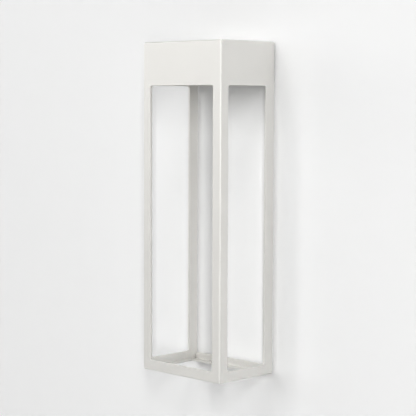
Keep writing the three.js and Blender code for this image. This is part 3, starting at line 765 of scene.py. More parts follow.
@dataclass
class FoldedBody:
    """The head, posts and rails, folded from one sheet, with its rear cross bar and foot pads."""

    sheet: float = 3.0
    bend: float = 3.2
    crook: float = 0.7
    rear_corner: float = 1.4
    head: float = 65.5
    front_post: float = 16.0
    rear_post: float = 18.0
    bottom_rail: float = 16.5
    window_corner: float = 3.0
    bottom_lip: float = 6.0
    top_lip: float = 12.0
    relief_width: float = 1.6
    relief_height: float = 3.4
    relief_reach: float = 5.0
    slit: float = 0.5
    cut_edge: float = 0.35
    bead: float = 1.5
    beyond: float = 20.0
    box: Extent = field(default_factory=lambda: Extent.of("body_shell"))

    def _relief(self, side: float, z: float, lip: float) -> list[Shape]:
        """The notch and mitre slit of one front corner."""
        front = self.box.y[0]
        notch = Shape.block(
            astride(side, self.relief_width / 2),
            astride(front, self.relief_reach),
            astride(z, self.relief_height),
        )
        slit = Shape.block(
            astride(side, self.slit / 2),
            astride(front, 2 * lip),
            (z - self.sheet - PAST / 2, z + self.sheet + PAST / 2),
        )
        turn = math.copysign(45.0, side)
        return [shape.spun(turn, Axis.Z, (side, front, z)) for shape in (notch, slit)]

    def build(self) -> None:
        """Makes the shell: one rounded box that is hollowed, opened and relieved at its corners."""
        (left, right), (front, rear), (low, high) = self.box.x, self.box.y, self.box.z
        inner = (left + self.sheet, right - self.sheet)
        shell = Shape.block(self.box.x, (front, rear + self.beyond), (low, high), self.bend, 8)
        corners = (0, self.rear_corner, self.rear_corner, 0)
        side_view = rectangle((front - 2 * self.beyond, rear), (low, high), corners, 5)
        shell.keep(Shape.prism(side_view, Axis.X, past(self.box.x)))
        hollow_z = (low + self.sheet, high - self.sheet)
        shell.cut(Shape.block(inner, (front + self.sheet, rear + self.beyond), hollow_z, self.crook, 4))
        lip = self.bottom_lip
        seat = Extent.of("rear_cross_bar").y[0] - GAP
        foot = (low - PAST, low + self.sheet + PAST)
        shell.cut(Shape.block((left + lip, right - lip), (front + lip, rear + PAST), foot))
        shell.cut(Shape.block(inner, (seat, rear + PAST), (low - PAST, low + self.sheet + PAST / 2)))
        lip = self.top_lip
        roof = (high - self.sheet - PAST, high + PAST)
        shell.cut(Shape.block((left + lip, right - lip), (front + lip, rear + PAST), roof))
        opening_z = (low + self.bottom_rail, high - self.head)
        opening_x = (left + self.front_post, right - self.front_post)
        opening_y = (front + self.front_post, rear - self.rear_post)
        across = rectangle(opening_x, opening_z, self.window_corner)
        along = rectangle(opening_y, opening_z, self.window_corner)
        shell.cut(Shape.prism(across, Axis.Y, past((front, front + self.sheet))))
        shell.cut(Shape.prism(along, Axis.X, past(self.box.x)))
        shell.soften(self.cut_edge)
        for side in (left, right):
            for z, lip in ((low, self.bottom_lip), (high, self.top_lip)):
                shell.cut(*self._relief(side, z, lip))
        shell.piece("body_shell")

    def _weld(self, start: Vector, run: Vector) -> Shape:
        """One weld bead: a run of overlapping ripples that tapers at both ends."""
        steps, sides, ripples, depth, taper, first = 28, 10, 9, 0.14, 0.35, 0.03
        angles = [2 * math.pi * k / sides for k in range(sides)]
        rings = []
        for i in range(steps + 1):
            t = i / steps
            swell = math.sin(math.pi * min(max(t, first), 1 - first)) ** taper
            ripple = 1 - depth + depth * abs(math.sin(ripples * math.pi * t))
            radius = self.bead * swell * ripple
            centre = start + run * t
            rings.append([centre + radius * Vector((math.cos(a), math.sin(a), 0)) for a in angles])
        return Shape.loft(rings)

    def build_cross_bar(self) -> None:
        """Makes the folded bar that ties the rear posts, welded to them at both ends."""
        bar = Extent.of("rear_cross_bar")
        (front, rear), (low, high) = bar.y, bar.z
        heel = (rear, low)
        section = angle_section(heel, (front - rear, high - low), self.sheet, self.bend, self.crook)
        shape = Shape.prism(section, Axis.X, bar.x).soften(self.cut_edge)
        sunk, foot, head = 0.4, 1.0, 1.5
        for x in bar.x:
            inward = math.copysign(self.bead - GAP, -x)
            start = Vector((x + inward, rear - self.sheet - sunk, low + self.sheet + foot))
            shape.join(self._weld(start, Vector((0, 0, high - low - self.sheet - foot - head))))
        shape.piece("rear_cross_bar")

    def build_foot_pads(self) -> None:
        """Makes the two rubber pads that keep the foot off the wall."""
        for node in ("foot_pad_left", "foot_pad_right"):
            pad = Extent.of(node)
            radius, (front, rear) = pad.radius, pad.y
            profile = [(radius, front), (radius, rear - 0.5), (radius - 0.15, rear - 0.15),
                       (radius - 0.5, rear), (radius - 2.2, rear), (radius - 2.6, rear - 0.3)]
            Shape.turned(profile, Axis.Y, (pad.middle[0], pad.middle[2])).piece(node)


# ---- the head and what is in it ----


@dataclass
class TopCover:
    """The pressed cover under the head's top lips, whose middle stands flush with them."""

    gauge: float = 2.5
    crown: float = 1.3
    ledge_edge: float = 0.3
    inside_corner: float = 0.6
    cut_edge: float = 0.4
    soften_above_deg: float = 60.0
    body: FoldedBody = field(default_factory=FoldedBody)

    def build(self) -> None:
        """Makes the ledge, the raised middle and the hollow below it."""
        cover = Extent.of("top_cover")
        (left, right), (front, rear), (low, high) = self.body.box.x, self.body.box.y, cover.z
        inset = self.body.top_lip + GAP
        raised = ((left + inset, right - inset), (front + inset, rear), (low, high))
        shape = Shape.block(*raised, self.crown, 5)
        shape.join(Shape.block(cover.x, cover.y, (low, low + self.gauge), self.ledge_edge, 2))
        inside = [past(span, -self.gauge) for span in raised[:2]]
        shape.cut(Shape.block(*inside, (low - 5 * PAST, high - self.gauge), self.inside_corner, 3))
        shape.soften(self.cut_edge, above_deg=self.soften_above_deg).piece("top_cover")


# How deep a thread is, as a share of its pitch, and a pan head's dome, as shares of its radius and height.
THREAD_DEPTH = 0.6
PAN_DOME = ((0.45, 0.0), (0.62, 0.03), (0.78, 0.13), (0.9, 0.28), (0.97, 0.48), (1.0, 0.72), (1.0, 0.96))


class Thread(Enum):
    """The machine screws used, with their shank radius, head height, thread pitch and hole radius."""

    M4 = (2.0, 2.3, 0.7, 2.3)
    M3 = (1.5, 2.0, 0.5, 1.8)
    M25 = (1.2, 1.5, 0.45, 1.5)

    @property
    def hole(self) -> float:
        """The radius of its clearance hole."""
        return self.value[3]


def ridged(radius: float, pitch: float, start: float, end: float) -> list[Point2]:
    """A thread's profile as ridges between two places.

    Args:
        radius: the radius over the ridges.
        pitch: how far apart they are.
        start: where the thread starts.
        end: where it ends.

    Returns:
        The profile's points.
    """
    count = max(2, int(abs(end - start) / pitch))
    step = (end - start) / count
    root = radius - THREAD_DEPTH * pitch
    points: list[Point2] = []
    for i in range(count):
        points += [(root, start + i * step), (radius, start + (i + 0.5) * step)]
    return [*points, (root, end)]


@dataclass
class PanScrew:
    """A pan-head screw with a cross recess, which stands along Z where its CAD node is."""

    node: str
    thread: Thread
    head_below: bool = True
    head_edge: float = 0.12
    undercut: float = 0.1
    runout: float = 0.3
    lead_in: float = 0.5
    tip_share: float = 0.55
    recess_reach: float = 0.56
    recess_half: float = 0.11
    recess_depth: float = 0.55

    def build(self) -> None:
        """Makes the head, the ridged shank and the recess."""
        box = Extent.of(self.node)
        shank, rise, pitch, _ = self.thread.value
        head = box.radius
        top, tip, way = (box.z[0], box.z[1], 1) if self.head_below else (box.z[1], box.z[0], -1)
        seat = top + way * rise
        dome = [(head * u, top + way * rise * v) for u, v in PAN_DOME]
        neck = [(head - self.head_edge, seat), (shank - self.undercut, seat)]
        threads = ridged(shank, pitch, seat + way * self.runout, tip - way * self.lead_in)
        profile = [*dome, *neck, *threads, (shank * self.tip_share, tip)]
        middle = box.middle
        screw = Shape.turned(profile, Axis.Z, (middle[0], middle[1]), sides=24)
        screw.cut(self._recess(head, top, way, middle)).piece(self.node)

    def _recess(self, head: float, top: float, way: int, middle: Point3) -> Shape:
        """The tapered cross that the driver bit fits."""
        rings = []
        for scale, depth in ((1.1, -GAP), (1.0, 0.0), (0.55, self.recess_depth * head)):
            reach = self.recess_reach * head * scale
            half = self.recess_half * head * (0.5 + 0.5 * scale)
            quarter = [(reach, -half), (reach, half), (half, half)]
            cross = []
            for c, s in ((1, 0), (0, 1), (-1, 0), (0, -1)):
                cross += [(c * u - s * v, s * u + c * v) for u, v in quarter]
            rings.append([Vector((middle[0] + u, middle[1] + v, top + way * depth)) for u, v in cross])
        return Shape.loft(rings)


@dataclass
class LampTray:
    """The tray that closes the head from below, the brackets that carry it and their screws."""

    gauge: float = 2.0
    fold: float = 2.2
    crook: float = 0.6
    mouth: Point2 = (88.0, 48.0)
    mouth_corner: float = 4.0
    cut_edge: float = 0.3
    spare: float = 10.0
    bracket_gauge: float = 2.0
    bracket_crook: float = 0.3
    bracket_edge: float = 0.25

    def _holes(self) -> list[Shape]:
        """A clearance hole for every screw that goes through the tray."""
        wanted = [("tray_screw_" + corner, Thread.M4) for corner in CORNERS]
        wanted += [("light_box_screw_" + corner, Thread.M3) for corner in CORNERS]
        wanted += [("lock_screw", Thread.M4), ("terminal_fixing_screw", Thread.M25)]
        wanted += [("driver_screw_left", Thread.M25), ("driver_screw_right", Thread.M25)]
        high = Extent.of("lamp_tray").z[1]
        through = past((high - self.gauge, high))
        return [Shape.rod(thread.hole, Axis.Z, Extent.of(node).middle[:2], through)
                for node, thread in wanted]

    def build(self) -> None:
        """Makes the tray with its downturned rim."""
        tray = Extent.of("lamp_tray")
        y = Extent.of("lens").middle[1]
        low, high = tray.z
        shape = Shape.block(tray.x, tray.y, (low - self.spare, high), self.fold, 6)
        below = low - 2 * self.spare
        all_x, all_y = (-99, 99), (-199, 99)
        shape.cut(Shape.block(all_x, all_y, (below, low)))
        inside = [past(span, -self.gauge) for span in (tray.x, tray.y)]
        shape.cut(Shape.block(*inside, (below, high - self.gauge), self.crook, 4))
        wide, deep = (size / 2 for size in self.mouth)
        outline = rectangle((-wide, wide), astride(y, deep), self.mouth_corner, 8)
        shape.cut(Shape.prism(outline, Axis.Z, past((high - self.gauge, high))))
        shape.soften(self.cut_edge)
        shape.cut(*self._holes())
        shape.piece("lamp_tray")

    def build_holding(self) -> None:
        """Makes the four angle brackets and the screws that hold the tray to them."""
        gauge = self.bracket_gauge
        for corner in CORNERS:
            node = "tray_bracket_" + corner
            box = Extent.of(node)
            out, inward = (box.x[1], -1) if box.x[1] > 0 else (box.x[0], 1)
            legs = (inward * box.size[0], box.size[2])
            section = angle_section((out, box.z[0]), legs, gauge, gauge, self.bracket_crook, 5)
            through = past((box.z[0], box.z[0] + gauge))
            hole = Shape.rod(Thread.M4.hole, Axis.Z, Extent.of("tray_screw_" + corner).middle[:2], through)
            Shape.prism(section, Axis.Y, box.y).soften(self.bracket_edge).cut(hole).piece(node)
            PanScrew("tray_screw_" + corner, Thread.M4).build()


@dataclass
class LampUnit:
    """The sealed light box over the tray's mouth: gasket, lens, box, reflector, board and heat sink."""

    opening: Point2 = (90.0, 50.0)
    reflector_top: Point2 = (42.0, 32.0)
    reflector_wall: float = 1.2
    box_width: float = 104.0
    box_edge: float = 0.6
    lug: float = 4.5
    lug_height: float = 3.0
    lug_inward: float = 8.0
    step: float = 0.02
    fins: int = 11
    fin_thick: float = 1.8
    fin_reach: float = 26.0
    fin_margin: float = 4.0
    base: float = 4.0
    base_edge: float = 0.3
    lead_half: float = 4.0
    lead_bore: float = 1.6
    pocket: Point2 = (6.0, 9.0)
    sink_screws: tuple[str, ...] = tuple(f"sink_screw_{i}" for i in range(1, 5))
    board_screws: tuple[str, ...] = ("board_screw_left", "board_screw_right")
    chip_rim: float = 2.0

    def __post_init__(self) -> None:
        """Finds the lamp's centre."""
        self.x, self.y, _ = Extent.of("lens").middle

    def _outline(self, size: Point2, radius: float, steps: int = 6) -> list[Point2]:
        """A rectangle of this size with round corners, centred on the lamp."""
        return rectangle(astride(self.x, size[0] / 2), astride(self.y, size[1] / 2), radius, steps)

    def _flat(self, size: Point2, radius: float, z: Range, steps: int = 6) -> Shape:
        """A flat plate with round corners, centred on the lamp."""
        return Shape.prism(self._outline(size, radius, steps), Axis.Z, z)

    def _drill(self, nodes: Sequence[str], radius: float, z: Range) -> list[Shape]:
        """Holes on the axes of some screws."""
        return [Shape.rod(radius, Axis.Z, Extent.of(node).middle[:2], z, sides=20) for node in nodes]

    def build_optics(self) -> None:
        """Makes the gasket, the opal lens and the white reflector."""
        gasket, lens, box = Extent.of("lens_gasket"), Extent.of("lens"), Extent.of("reflector")
        opening = self._flat(self.opening, 2, past(gasket.z))
        self._flat(gasket.size[:2], 4, gasket.z).cut(opening).soften(0.25).piece("lens_gasket")
        self._flat(lens.size[:2], 3, lens.z).soften(0.6, 3).piece("lens")
        (low, high), wide, narrow = box.z, box.size[:2], self.reflector_top
        outside = [(wide, 5.0, low), (narrow, 4.0, high)]
        inside = [(narrow, 3.0, high), (wide, 4.0, low)]
        inside = [([side - 2 * self.reflector_wall for side in size], r, z) for size, r, z in inside]
        rings = [
            [Vector((u, v, z)) for u, v in self._outline(size, radius)]
            for size, radius, z in outside + inside
        ]
        Shape.loft(rings, closed=True).piece("reflector")

    def _lug(self, node: str, low: float) -> Shape:
        """A round-ended lug on the box's side, which takes one of the box's screws."""
        x, y, _ = Extent.of(node).middle
        side = math.copysign(1.0, x)
        outline = [(x + side * u, y + v) for u, v in arc((0, 0), self.lug, -90, 90, 12)]
        outline += [(x - side * self.lug_inward, y + v) for v in (self.lug, -self.lug)]
        return Shape.prism(outline, Axis.Z, (low + self.step, low + self.lug_height)).soften(0.4)

    def build_box(self) -> None:
        """Makes the cast light box with its four lugs."""
        box, lens, tray = Extent.of("light_box"), Extent.of("lens"), Extent.of("lamp_tray")
        low, high = box.z
        body = self._flat((self.box_width, box.size[1]), 5, box.z, 8).soften(self.box_edge, 3)
        screws = ["light_box_screw_" + corner for corner in CORNERS]
        body.join(*(self._lug(node, low) for node in screws))
        body.cut(self._flat(self.opening, 3, past(box.z)))
        seat = [side + 2 * GAP for side in lens.size[:2]]
        body.cut(self._flat(seat, 3.2, (low - PAST, lens.z[1] + GAP)))
        body.cut(*self._drill(screws, Thread.M3.hole, past((low, low + self.lug_height))))
        pilot = (high - 9 * PAST, high + PAST)
        body.cut(*self._drill(self.sink_screws, Thread.M25.hole, pilot)).piece("light_box")
        for node in screws:
            PanScrew(node, Thread.M3).build()
        LOG.info("light box stands %.1f mm over the tray", high - tray.z[1])

    def build_sink(self) -> None:
        """Makes the extruded heat sink and its screws."""
        box = Extent.of("heat_sink")
        low, high = box.z
        top = low + self.base
        plate = self._flat(box.size[:2], 5, (low, top), 8).soften(self.base_edge)
        span = box.size[0] - 2 * self.fin_margin
        pitch = (span - self.fin_thick) / (self.fins - 1)
        tip = self.fin_thick / 2 - 0.05
        for i in range(self.fins):
            x = self.x - span / 2 + i * pitch
            outline = rectangle((x, x + self.fin_thick), (top - PAST / 2, high), (0, 0, tip, tip), 5)
            plate.join(Shape.prism(outline, Axis.Y, astride(self.y, self.fin_reach)))
        lead = Extent.of("led_lead_plus").x[0] + 1.0
        wide, deep = self.pocket
        plate.cut(Shape.block(astride(lead, wide), astride(self.y, deep), (top, high + PAST)))
        for y in astride(self.y, self.lead_half):
            plate.cut(Shape.rod(self.lead_bore, Axis.Z, (lead, y), past((low, top)), sides=20))
        plate.cut(*self._drill(self.sink_screws, Thread.M25.hole, past((low, top))))
        plate.cut(*self._drill(self.board_screws, Thread.M25.hole, (low - PAST, top - PAST)))
        plate.piece("heat_sink", "extruded_aluminium")
        for node in self.sink_screws:
            PanScrew(node, Thread.M25, head_below=False).build()

    def build_board(self) -> None:
        """Makes the board, its screws and the round light source on it."""
        box, chip = Extent.of("led_board"), Extent.of("led_chip")
        board = self._flat(box.size[:2], 2, box.z, 5).soften(0.12)
        board.cut(*self._drill(self.board_screws, Thread.M25.hole, past(box.z))).piece("led_board")
        for node in self.board_screws:
            PanScrew(node, Thread.M25).build()
        radius, (low, high), (x, y, _) = chip.radius, chip.z, chip.middle
        rim = [(radius, high), (radius, low + 0.3), (radius - 0.3, low), (radius - 1.1, low),
               (radius - 1.4, low + 0.25), (radius - 2.2, low + 0.3)]
        gel = [(4.0, low + 0.12), (0.8, low + 0.05)]
        made = Shape.turned(rim + gel, Axis.Z, (x, y), sides=64)
        piece = made.piece("led_chip", "phosphor", "reflector_white")
        for face in piece.data.polygons:
            out = math.hypot(face.center.x / MM - x, face.center.y / MM - y)
            face.material_index = int(out > radius - self.chip_rim)


@dataclass
class Driver:
    """The constant-current driver: a moulded case with a seam, grooves and a lug at each end."""

    lug: float = 9.0
    foot_half: float = 5.0
    foot_thick: float = 2.0
    bore: float = 1.7
    bore_depth: float = 4.0
    mains_bores: Point2 = (-14.0, -8.0)
    lamp_bores: Point2 = (-10.0, -4.0)
    seam_at: float = 0.62
    seam_depth: float = 0.5
    seam_width: float = 0.7
    grooves: int = 9
    groove_pitch: float = 6.0
    groove_half: float = 0.6
    groove_depth: float = 0.7
    groove_margin: float = 3.5
    cut_edge: float = 0.4

    def build(self) -> None:
        """Makes the case and its two screws."""
        box = Extent.of("driver")
        half = box.x[1] - self.lug
        ends = (-half, half)
        low, high = box.z
        case = Shape.prism(rectangle(box.y, box.z, (0.8, 0.8, 2.5, 2.5)), Axis.X, ends).soften(0.5, 3)
        seam = low + self.seam_at * box.size[2]
        groove = Shape.block(past(box.x), past(box.y), (seam, seam + self.seam_width))
        core_x, core_y = past(ends, -self.seam_depth), past(box.y, -self.seam_depth)
        case.cut(groove.cut(Shape.block(core_x, core_y, past((seam, seam + PAST)))))
        for i in range(self.grooves):
            across = astride((i - (self.grooves - 1) / 2) * self.groove_pitch, self.groove_half)
            deep = (high - self.groove_depth, high + PAST)
            case.cut(Shape.block(across, past(box.y, -self.groove_margin), deep))
        screw_y = Extent.of("driver_screw_left").middle[1]
        sole = (low, low + self.foot_thick)
        foot = rectangle(box.x, astride(screw_y, self.foot_half), 3, 8)
        case.join(Shape.prism(foot, Axis.Z, sole).soften(self.cut_edge))
        for node in ("driver_screw_left", "driver_screw_right"):
            case.cut(Shape.rod(Thread.M25.hole, Axis.Z, Extent.of(node).middle[:2], past(sole)))
            PanScrew(node, Thread.M25, head_below=False).build()
        for side, heights in ((-1, self.mains_bores), (1, self.lamp_bores)):
            for z in heights:
                along = tuple(sorted((side * (half + PAST), side * (half - self.bore_depth))))
                case.cut(Shape.rod(self.bore, Axis.X, (screw_y, z), along, sides=20))
        case.piece("driver")


@dataclass
class Terminals:
    """The three-pole terminal block, its clamp screws and the earth point."""

    poles: tuple[str, ...] = ("live", "neutral", "earth")
    ear_length: float = 4.0
    ear_half: float = 4.0
    ear_thick: float = 3.0
    groove_half: float = 0.6
    groove_depth: float = 3.0
    well: float = 2.4
    well_depth: float = 5.0
    tester: float = 1.9
    tester_depth: float = 8.0
    tester_inset: float = 3.2
    bore: float = 1.6
    bore_depth: float = 6.0
    bore_z: float = -19.0
    slot_half: float = 0.35
    slot_depth: float = 0.8
    cut_edge: float = 0.35

    def build_block(self) -> None:
        """Makes the block with its wells, bores and the grooves between its poles."""
        box = Extent.of("terminal_block")
        fixing = Extent.of("terminal_fixing_screw").middle
        (front, rear), (low, high) = box.y, box.z
        right = fixing[0] - self.ear_length
        block = Shape.prism(rectangle((box.x[0], right), (front, rear), 1.0, 4), Axis.Z, (low, high))
        screws = [Extent.of("clamp_screw_" + pole).middle for pole in self.poles]
        for first, second in zip(screws, screws[1:]):
            across = astride((first[0] + second[0]) / 2, self.groove_half)
            block.cut(Shape.block(across, past(box.y), (high - self.groove_depth, high + PAST)))
        block.soften(self.cut_edge)
        sole = (low, low + self.ear_thick)
        ear_x = (right - PAST, box.x[1])
        block.join(Shape.block(ear_x, astride(fixing[1], self.ear_half), sole, 0.5, 3))
        block.cut(Shape.rod(Thread.M25.hole, Axis.Z, fixing[:2], past(sole), sides=20))
        tester = (high - self.tester_depth, high + PAST)
        well = (high - self.well_depth, high + PAST)
        for x, y, _ in screws:
            block.cut(
                Shape.rod(self.tester, Axis.Z, (x, rear - self.tester_inset), tester, sides=20),
                Shape.rod(self.well, Axis.Z, (x, y), well, sides=24),
                Shape.rod(self.bore, Axis.Y, (x, self.bore_z), (front - PAST, front + self.bore_depth), 20),
            )
        block.piece("terminal_block")
        PanScrew("terminal_fixing_screw", Thread.M25, head_below=False).build()

    def build_clamps(self) -> None:
        """Makes the slotted clamp screws."""
        for pole in self.poles:
            node = "clamp_screw_" + pole
            box = Extent.of(node)
            (low, high), radius, (x, y, _) = box.z, box.radius, box.middle
            profile = [(radius - 0.4, low), *ridged(radius, 0.6, low + 0.3, high - 1.2),
                       (radius, high - 1.0), (radius, high - 0.25), (radius - 0.25, high)]
            deep = (high - self.slot_depth, high + PAST)
            slot = Shape.block(past(box.x), astride(y, self.slot_half), deep)
            Shape.turned(profile, Axis.Z, (x, y), sides=24).cut(slot).piece(node)

    def build_earth(self) -> None:
        """Makes the earth stud, the crimped lug and the nut."""
        stud, lug = Extent.of("earth_stud"), Extent.of("earth_lug")
        (low, high), radius, (x, y, _) = stud.z, stud.radius, stud.middle
        flange = [(radius - 0.3, low), (radius, low + 0.3), (radius, low + 0.9), (radius - 0.3, low + 1.2)]
        shank, _, pitch, hole = Thread.M4.value
        threads = ridged(shank, pitch, low + 1.5, high - 0.5)
        profile = [*flange, (shank + 0.05, low + 1.2), *threads, (1.3, high)]
        Shape.turned(profile, Axis.Z, (x, y)).piece("earth_stud")
        radius = lug.x[1] - x
        eye = collar(hole, radius, lug.z, 0.1)
        tongue = Shape.block((lug.x[0], x - 3), astride(y, 1.8), lug.z, 0.12, 2)
        Shape.turned(eye, Axis.Z, (x, y), bored=True).join(tongue).piece("earth_lug")
        nut("earth_nut", hole)


def collar(bore: float, radius: float, along: Range, edge: float) -> list[Point2]:
    """The closed profile of a bored collar whose two outer edges are bevelled."""
    low, high = along
    return [(bore, low), (radius - edge, low), (radius, low + edge), (radius, high - edge),
            (radius - edge, high), (bore, high)]


def nut(node: str, bore: float) -> None:
    """Makes a chamfered hexagon nut."""
    box = Extent.of(node)
    (low, high), radius, (x, y, _) = box.z, box.radius, box.middle
    chamfer, countersink, skin = 0.6, 0.35, 0.01
    hexagon = Shape.rod(radius, Axis.Z, (x, y), box.z, sides=6)
    flat, wide = radius * 0.9, radius + 0.1
    barrel = [(flat, low), (wide, low + chamfer), (wide, high - chamfer), (flat, high)]
    hexagon.keep(Shape.turned(barrel, Axis.Z, (x, y), sides=36))
    mouth = bore + countersink
    hole = [(mouth, low - skin), (bore, low + countersink), (bore, high - countersink), (mouth, high + skin)]
    hexagon.cut(Shape.turned(hole, Axis.Z, (x, y), sides=24)).piece(node)


def smooth_path(points: Sequence[Point3], steps: int) -> list[Vector]:
    """A centripetal Catmull-Rom curve through points.

    Args:
        points: the points that it passes through.
        steps: how many straight steps it has in all.

    Returns:
        The curve's points, the first and last of them included.
    """
    fixed = [Vector(p) for p in points]
    fixed = [2 * fixed[0] - fixed[1], *fixed, 2 * fixed[-1] - fixed[-2]]
    spans = len(points) - 1
    path = []
    for i in range(steps + 1):
        at = min(i * spans / steps, spans - 1e-9)
        p0, p1, p2, p3 = fixed[int(at):int(at) + 4]
        t01, t12, t23 = ((b - a).length ** 0.5 for a, b in ((p0, p1), (p1, p2), (p2, p3)))
        leave = (p1 - p0) / t01 - (p2 - p0) / (t01 + t12) + (p2 - p1) / t12
        arrive = (p2 - p1) / t12 - (p3 - p1) / (t12 + t23) + (p3 - p2) / t23
        leave, arrive = leave * t12, arrive * t12
        t = at - int(at)
        cubic = 2 * p1 - 2 * p2 + leave + arrive
        square = -3 * p1 + 3 * p2 - 2 * leave - arrive
        path.append(((cubic * t + square) * t + leave) * t + p1)
    return path


@dataclass
class Lead:
    """One insulated lead inside the head, along a given route."""

    node: str
    radius: float
    route: tuple[Point3, ...]
    sheath: str | None = None
    stripe: str | None = None
    steps: int = 90
    sides: int = 16
    stripe_flats: int = 3

    def build(self) -> None:
        """Makes the lead as a tube whose section doesn't twist."""
        path = smooth_path(self.route, self.steps)
        ahead = (path[1] - path[0]).normalized()
        side = ahead.orthogonal().normalized()
        rings = []
        for i, point in enumerate(path):
            way = (path[min(i + 1, len(path) - 1)] - path[max(i - 1, 0)]).normalized()
            side = (side - way * side.dot(way)).normalized()
            up = way.cross(side)
            angles = [2 * math.pi * k / self.sides for k in range(self.sides)]
            rings.append([point + self.radius * (side * math.cos(a) + up * math.sin(a)) for a in angles])
        tube = Shape.loft(rings)
        if self.stripe:
            for number, face in enumerate(tube.thing.data.polygons):
                face.material_index = int(number % (self.sides // 2) < self.stripe_flats)
        tube.piece(self.node, self.sheath or SLOT_OF[self.node], *([self.stripe] if self.stripe else []))


@dataclass
class Wiring:
    """The five leads in the head."""

    mains: float = 1.1
    lamp: float = 0.9

    def build(self) -> None:
        """Makes the leads from the terminal block to the driver, the stud and the board."""
        Lead("live_lead", self.mains, (
            (-55, -17, -19), (-55, -22, -19), (-56, -27, -18.4), (-57.5, -36, -17.4), (-57.5, -60, -16.5),
            (-57.5, -86, -16), (-58, -95, -15.4), (-56, -101, -14.4), (-51, -102.25, -14),
            (-42, -102.25, -14),
        )).build()
        Lead("neutral_lead", self.mains, (
            (-45, -17, -19), (-45, -22, -18.8), (-47.5, -25.4, -16.5), (-53, -27.5, -13.5), (-57, -34, -12),
            (-57.5, -60, -11), (-57.5, -86, -10.5), (-58, -95, -9.8), (-56, -101, -8.6),
            (-51, -102.25, -8), (-42, -102.25, -8),
        )).build()
        Lead("earth_lead", self.mains, (
            (-35, -17, -19), (-35, -21.6, -19), (-33, -24.4, -18.8), (-26, -25, -18.6), (0, -25, -18.6),
            (28, -24.8, -18.6), (36, -23.4, -19), (39.2, -20.5, -20.4), (40.2, -18.6, -21.2),
        ), stripe="wire_yellow").build()
        Lead("led_lead_plus", self.lamp, (
            (42, -102.25, -4), (49, -102.25, -4), (54, -100, -2), (55.5, -93, 7), (54, -84, 13.5),
            (48, -75, 18.2), (36, -61, 19.4), (26, -57, 18), (20.6, -56, 14), (20, -56, 8), (20, -56, -2),
        )).build()
        Lead("led_lead_minus", self.lamp, (
            (42, -102.25, -10), (49, -102.25, -10), (56.8, -100, -8), (58.3, -93, 3.2), (56.8, -84, 9.2),
            (54, -78, 12), (48.5, -74.5, 14.4), (40, -70.5, 14.8), (32, -67, 15.4), (25, -64.6, 15),
            (20.8, -64, 12.5), (20, -64, 8), (20, -64, -2),
        )).build()


@dataclass
class WallMount:
    """The plate on the wall with its hooks, lip and grommet, and what hangs on it."""

    thick: float = 2.0
    corner: float = 4.0
    fold: float = 2.4
    crook: float = 0.5
    hook_x: float = 40.0
    hook_width: float = 16.0
    hook_rise: float = 4.4
    hook_front: float = -8.4
    overlap: float = 0.5
    step: float = 0.03
    plate_high: float = 20.0
    slot_x: float = 52.0
    slot: Point2 = (5.5, 12.0)
    slot_bias: float = 0.01
    lip_half: float = 14.0
    lip_edge: float = 0.3
    lip_slot: float = 2.6
    cable_hole: float = 9.0
    cut_edge: float = 0.25

    def _hook(self, side: int) -> Shape:
        """One of the two open hooks that carry the hanger bar."""
        heel = (self.hook_front, self.plate_high - self.thick - self.step)
        legs = (-self.hook_front - self.overlap, self.thick + self.hook_rise + self.step)
        section = angle_section(heel, legs, self.thick, self.fold, self.crook)
        across = astride(side * self.hook_x, self.hook_width / 2)
        return Shape.prism(section, Axis.X, across).soften(self.cut_edge)

    def build_bracket(self) -> None:
        """Makes the pressed plate with its hooks, its screw slots and its slotted lip."""
        box, cable = Extent.of("wall_bracket"), Extent.of("cable_grommet").middle
        low = box.z[0]
        outline = rectangle(box.x, (low, self.plate_high), self.corner, 8)
        plate = Shape.prism(outline, Axis.Y, (-self.thick, 0.0)).soften(self.cut_edge)
        through = past((-self.thick, 0.0))
        wide, tall = (size / 2 for size in self.slot)
        for side in (-1, 1):
            plate.join(self._hook(side))
            slot = rectangle(astride(side * self.slot_x, wide), (-tall, tall), wide - self.slot_bias, 8)
            plate.cut(Shape.prism(slot, Axis.Y, through))
        flat = (low + self.step, low + self.thick)
        lip = Shape.block(astride(0.0, self.lip_half), (box.y[0], -self.overlap), flat, self.lip_edge, 2)
        end = Extent.of("lock_screw").middle[1] + 0.5
        deep = past((low, low + self.thick))
        slot = Shape.block(astride(0.0, self.lip_slot), (box.y[0] - PAST, end), deep)
        plate.join(lip).cut(slot, Shape.rod(self.lip_slot, Axis.Z, (0.0, end), deep))
        plate.cut(Shape.rod(self.cable_hole, Axis.Y, (cable[0], cable[2]), through, sides=48))
        plate.piece("wall_bracket")

    def build_grommet(self) -> None:
        """Makes the rubber grommet, which has a rounded flange and a tapered bore."""
        box = Extent.of("cable_grommet")
        (front, back), radius = box.y, box.radius
        neck, bore, seat = self.cable_hole - GAP, 5.0, front + self.thick
        rim = arc((radius - 1.0, front + 1.0), 1.0, 0, -90, 5)
        profile = [(bore, back), (neck - 0.3, back), (neck, back - 0.3), (neck, seat), (radius - 0.2, seat),
                   *rim, (bore + 1.2, front), (bore + 0.5, front + 0.2), (bore, front + 0.9)]
        centre = (box.middle[0], box.middle[2])
        Shape.turned(profile, Axis.Y, centre, bored=True, sides=48).piece("cable_grommet")

    def build_hanging(self) -> None:
        """Makes the hanger bar and the lock screw with its spacer and nut."""
        bar = Extent.of("hanger_bar")
        legs = (-bar.size[1], -bar.size[2])
        section = angle_section((bar.y[1], bar.z[1]), legs, self.thick, self.thick, 0.4, 5)
        Shape.prism(section, Axis.X, bar.x).soften(self.cut_edge).piece("hanger_bar")
        PanScrew("lock_screw", Thread.M4).build()
        spacer = Extent.of("lock_spacer")
        profile = collar(Thread.M4.hole, spacer.radius, spacer.z, 0.3)
        Shape.turned(profile, Axis.Z, spacer.middle[:2], bored=True).piece("lock_spacer")
        nut("lock_nut", Thread.M4.hole)


# ---- the studio ----


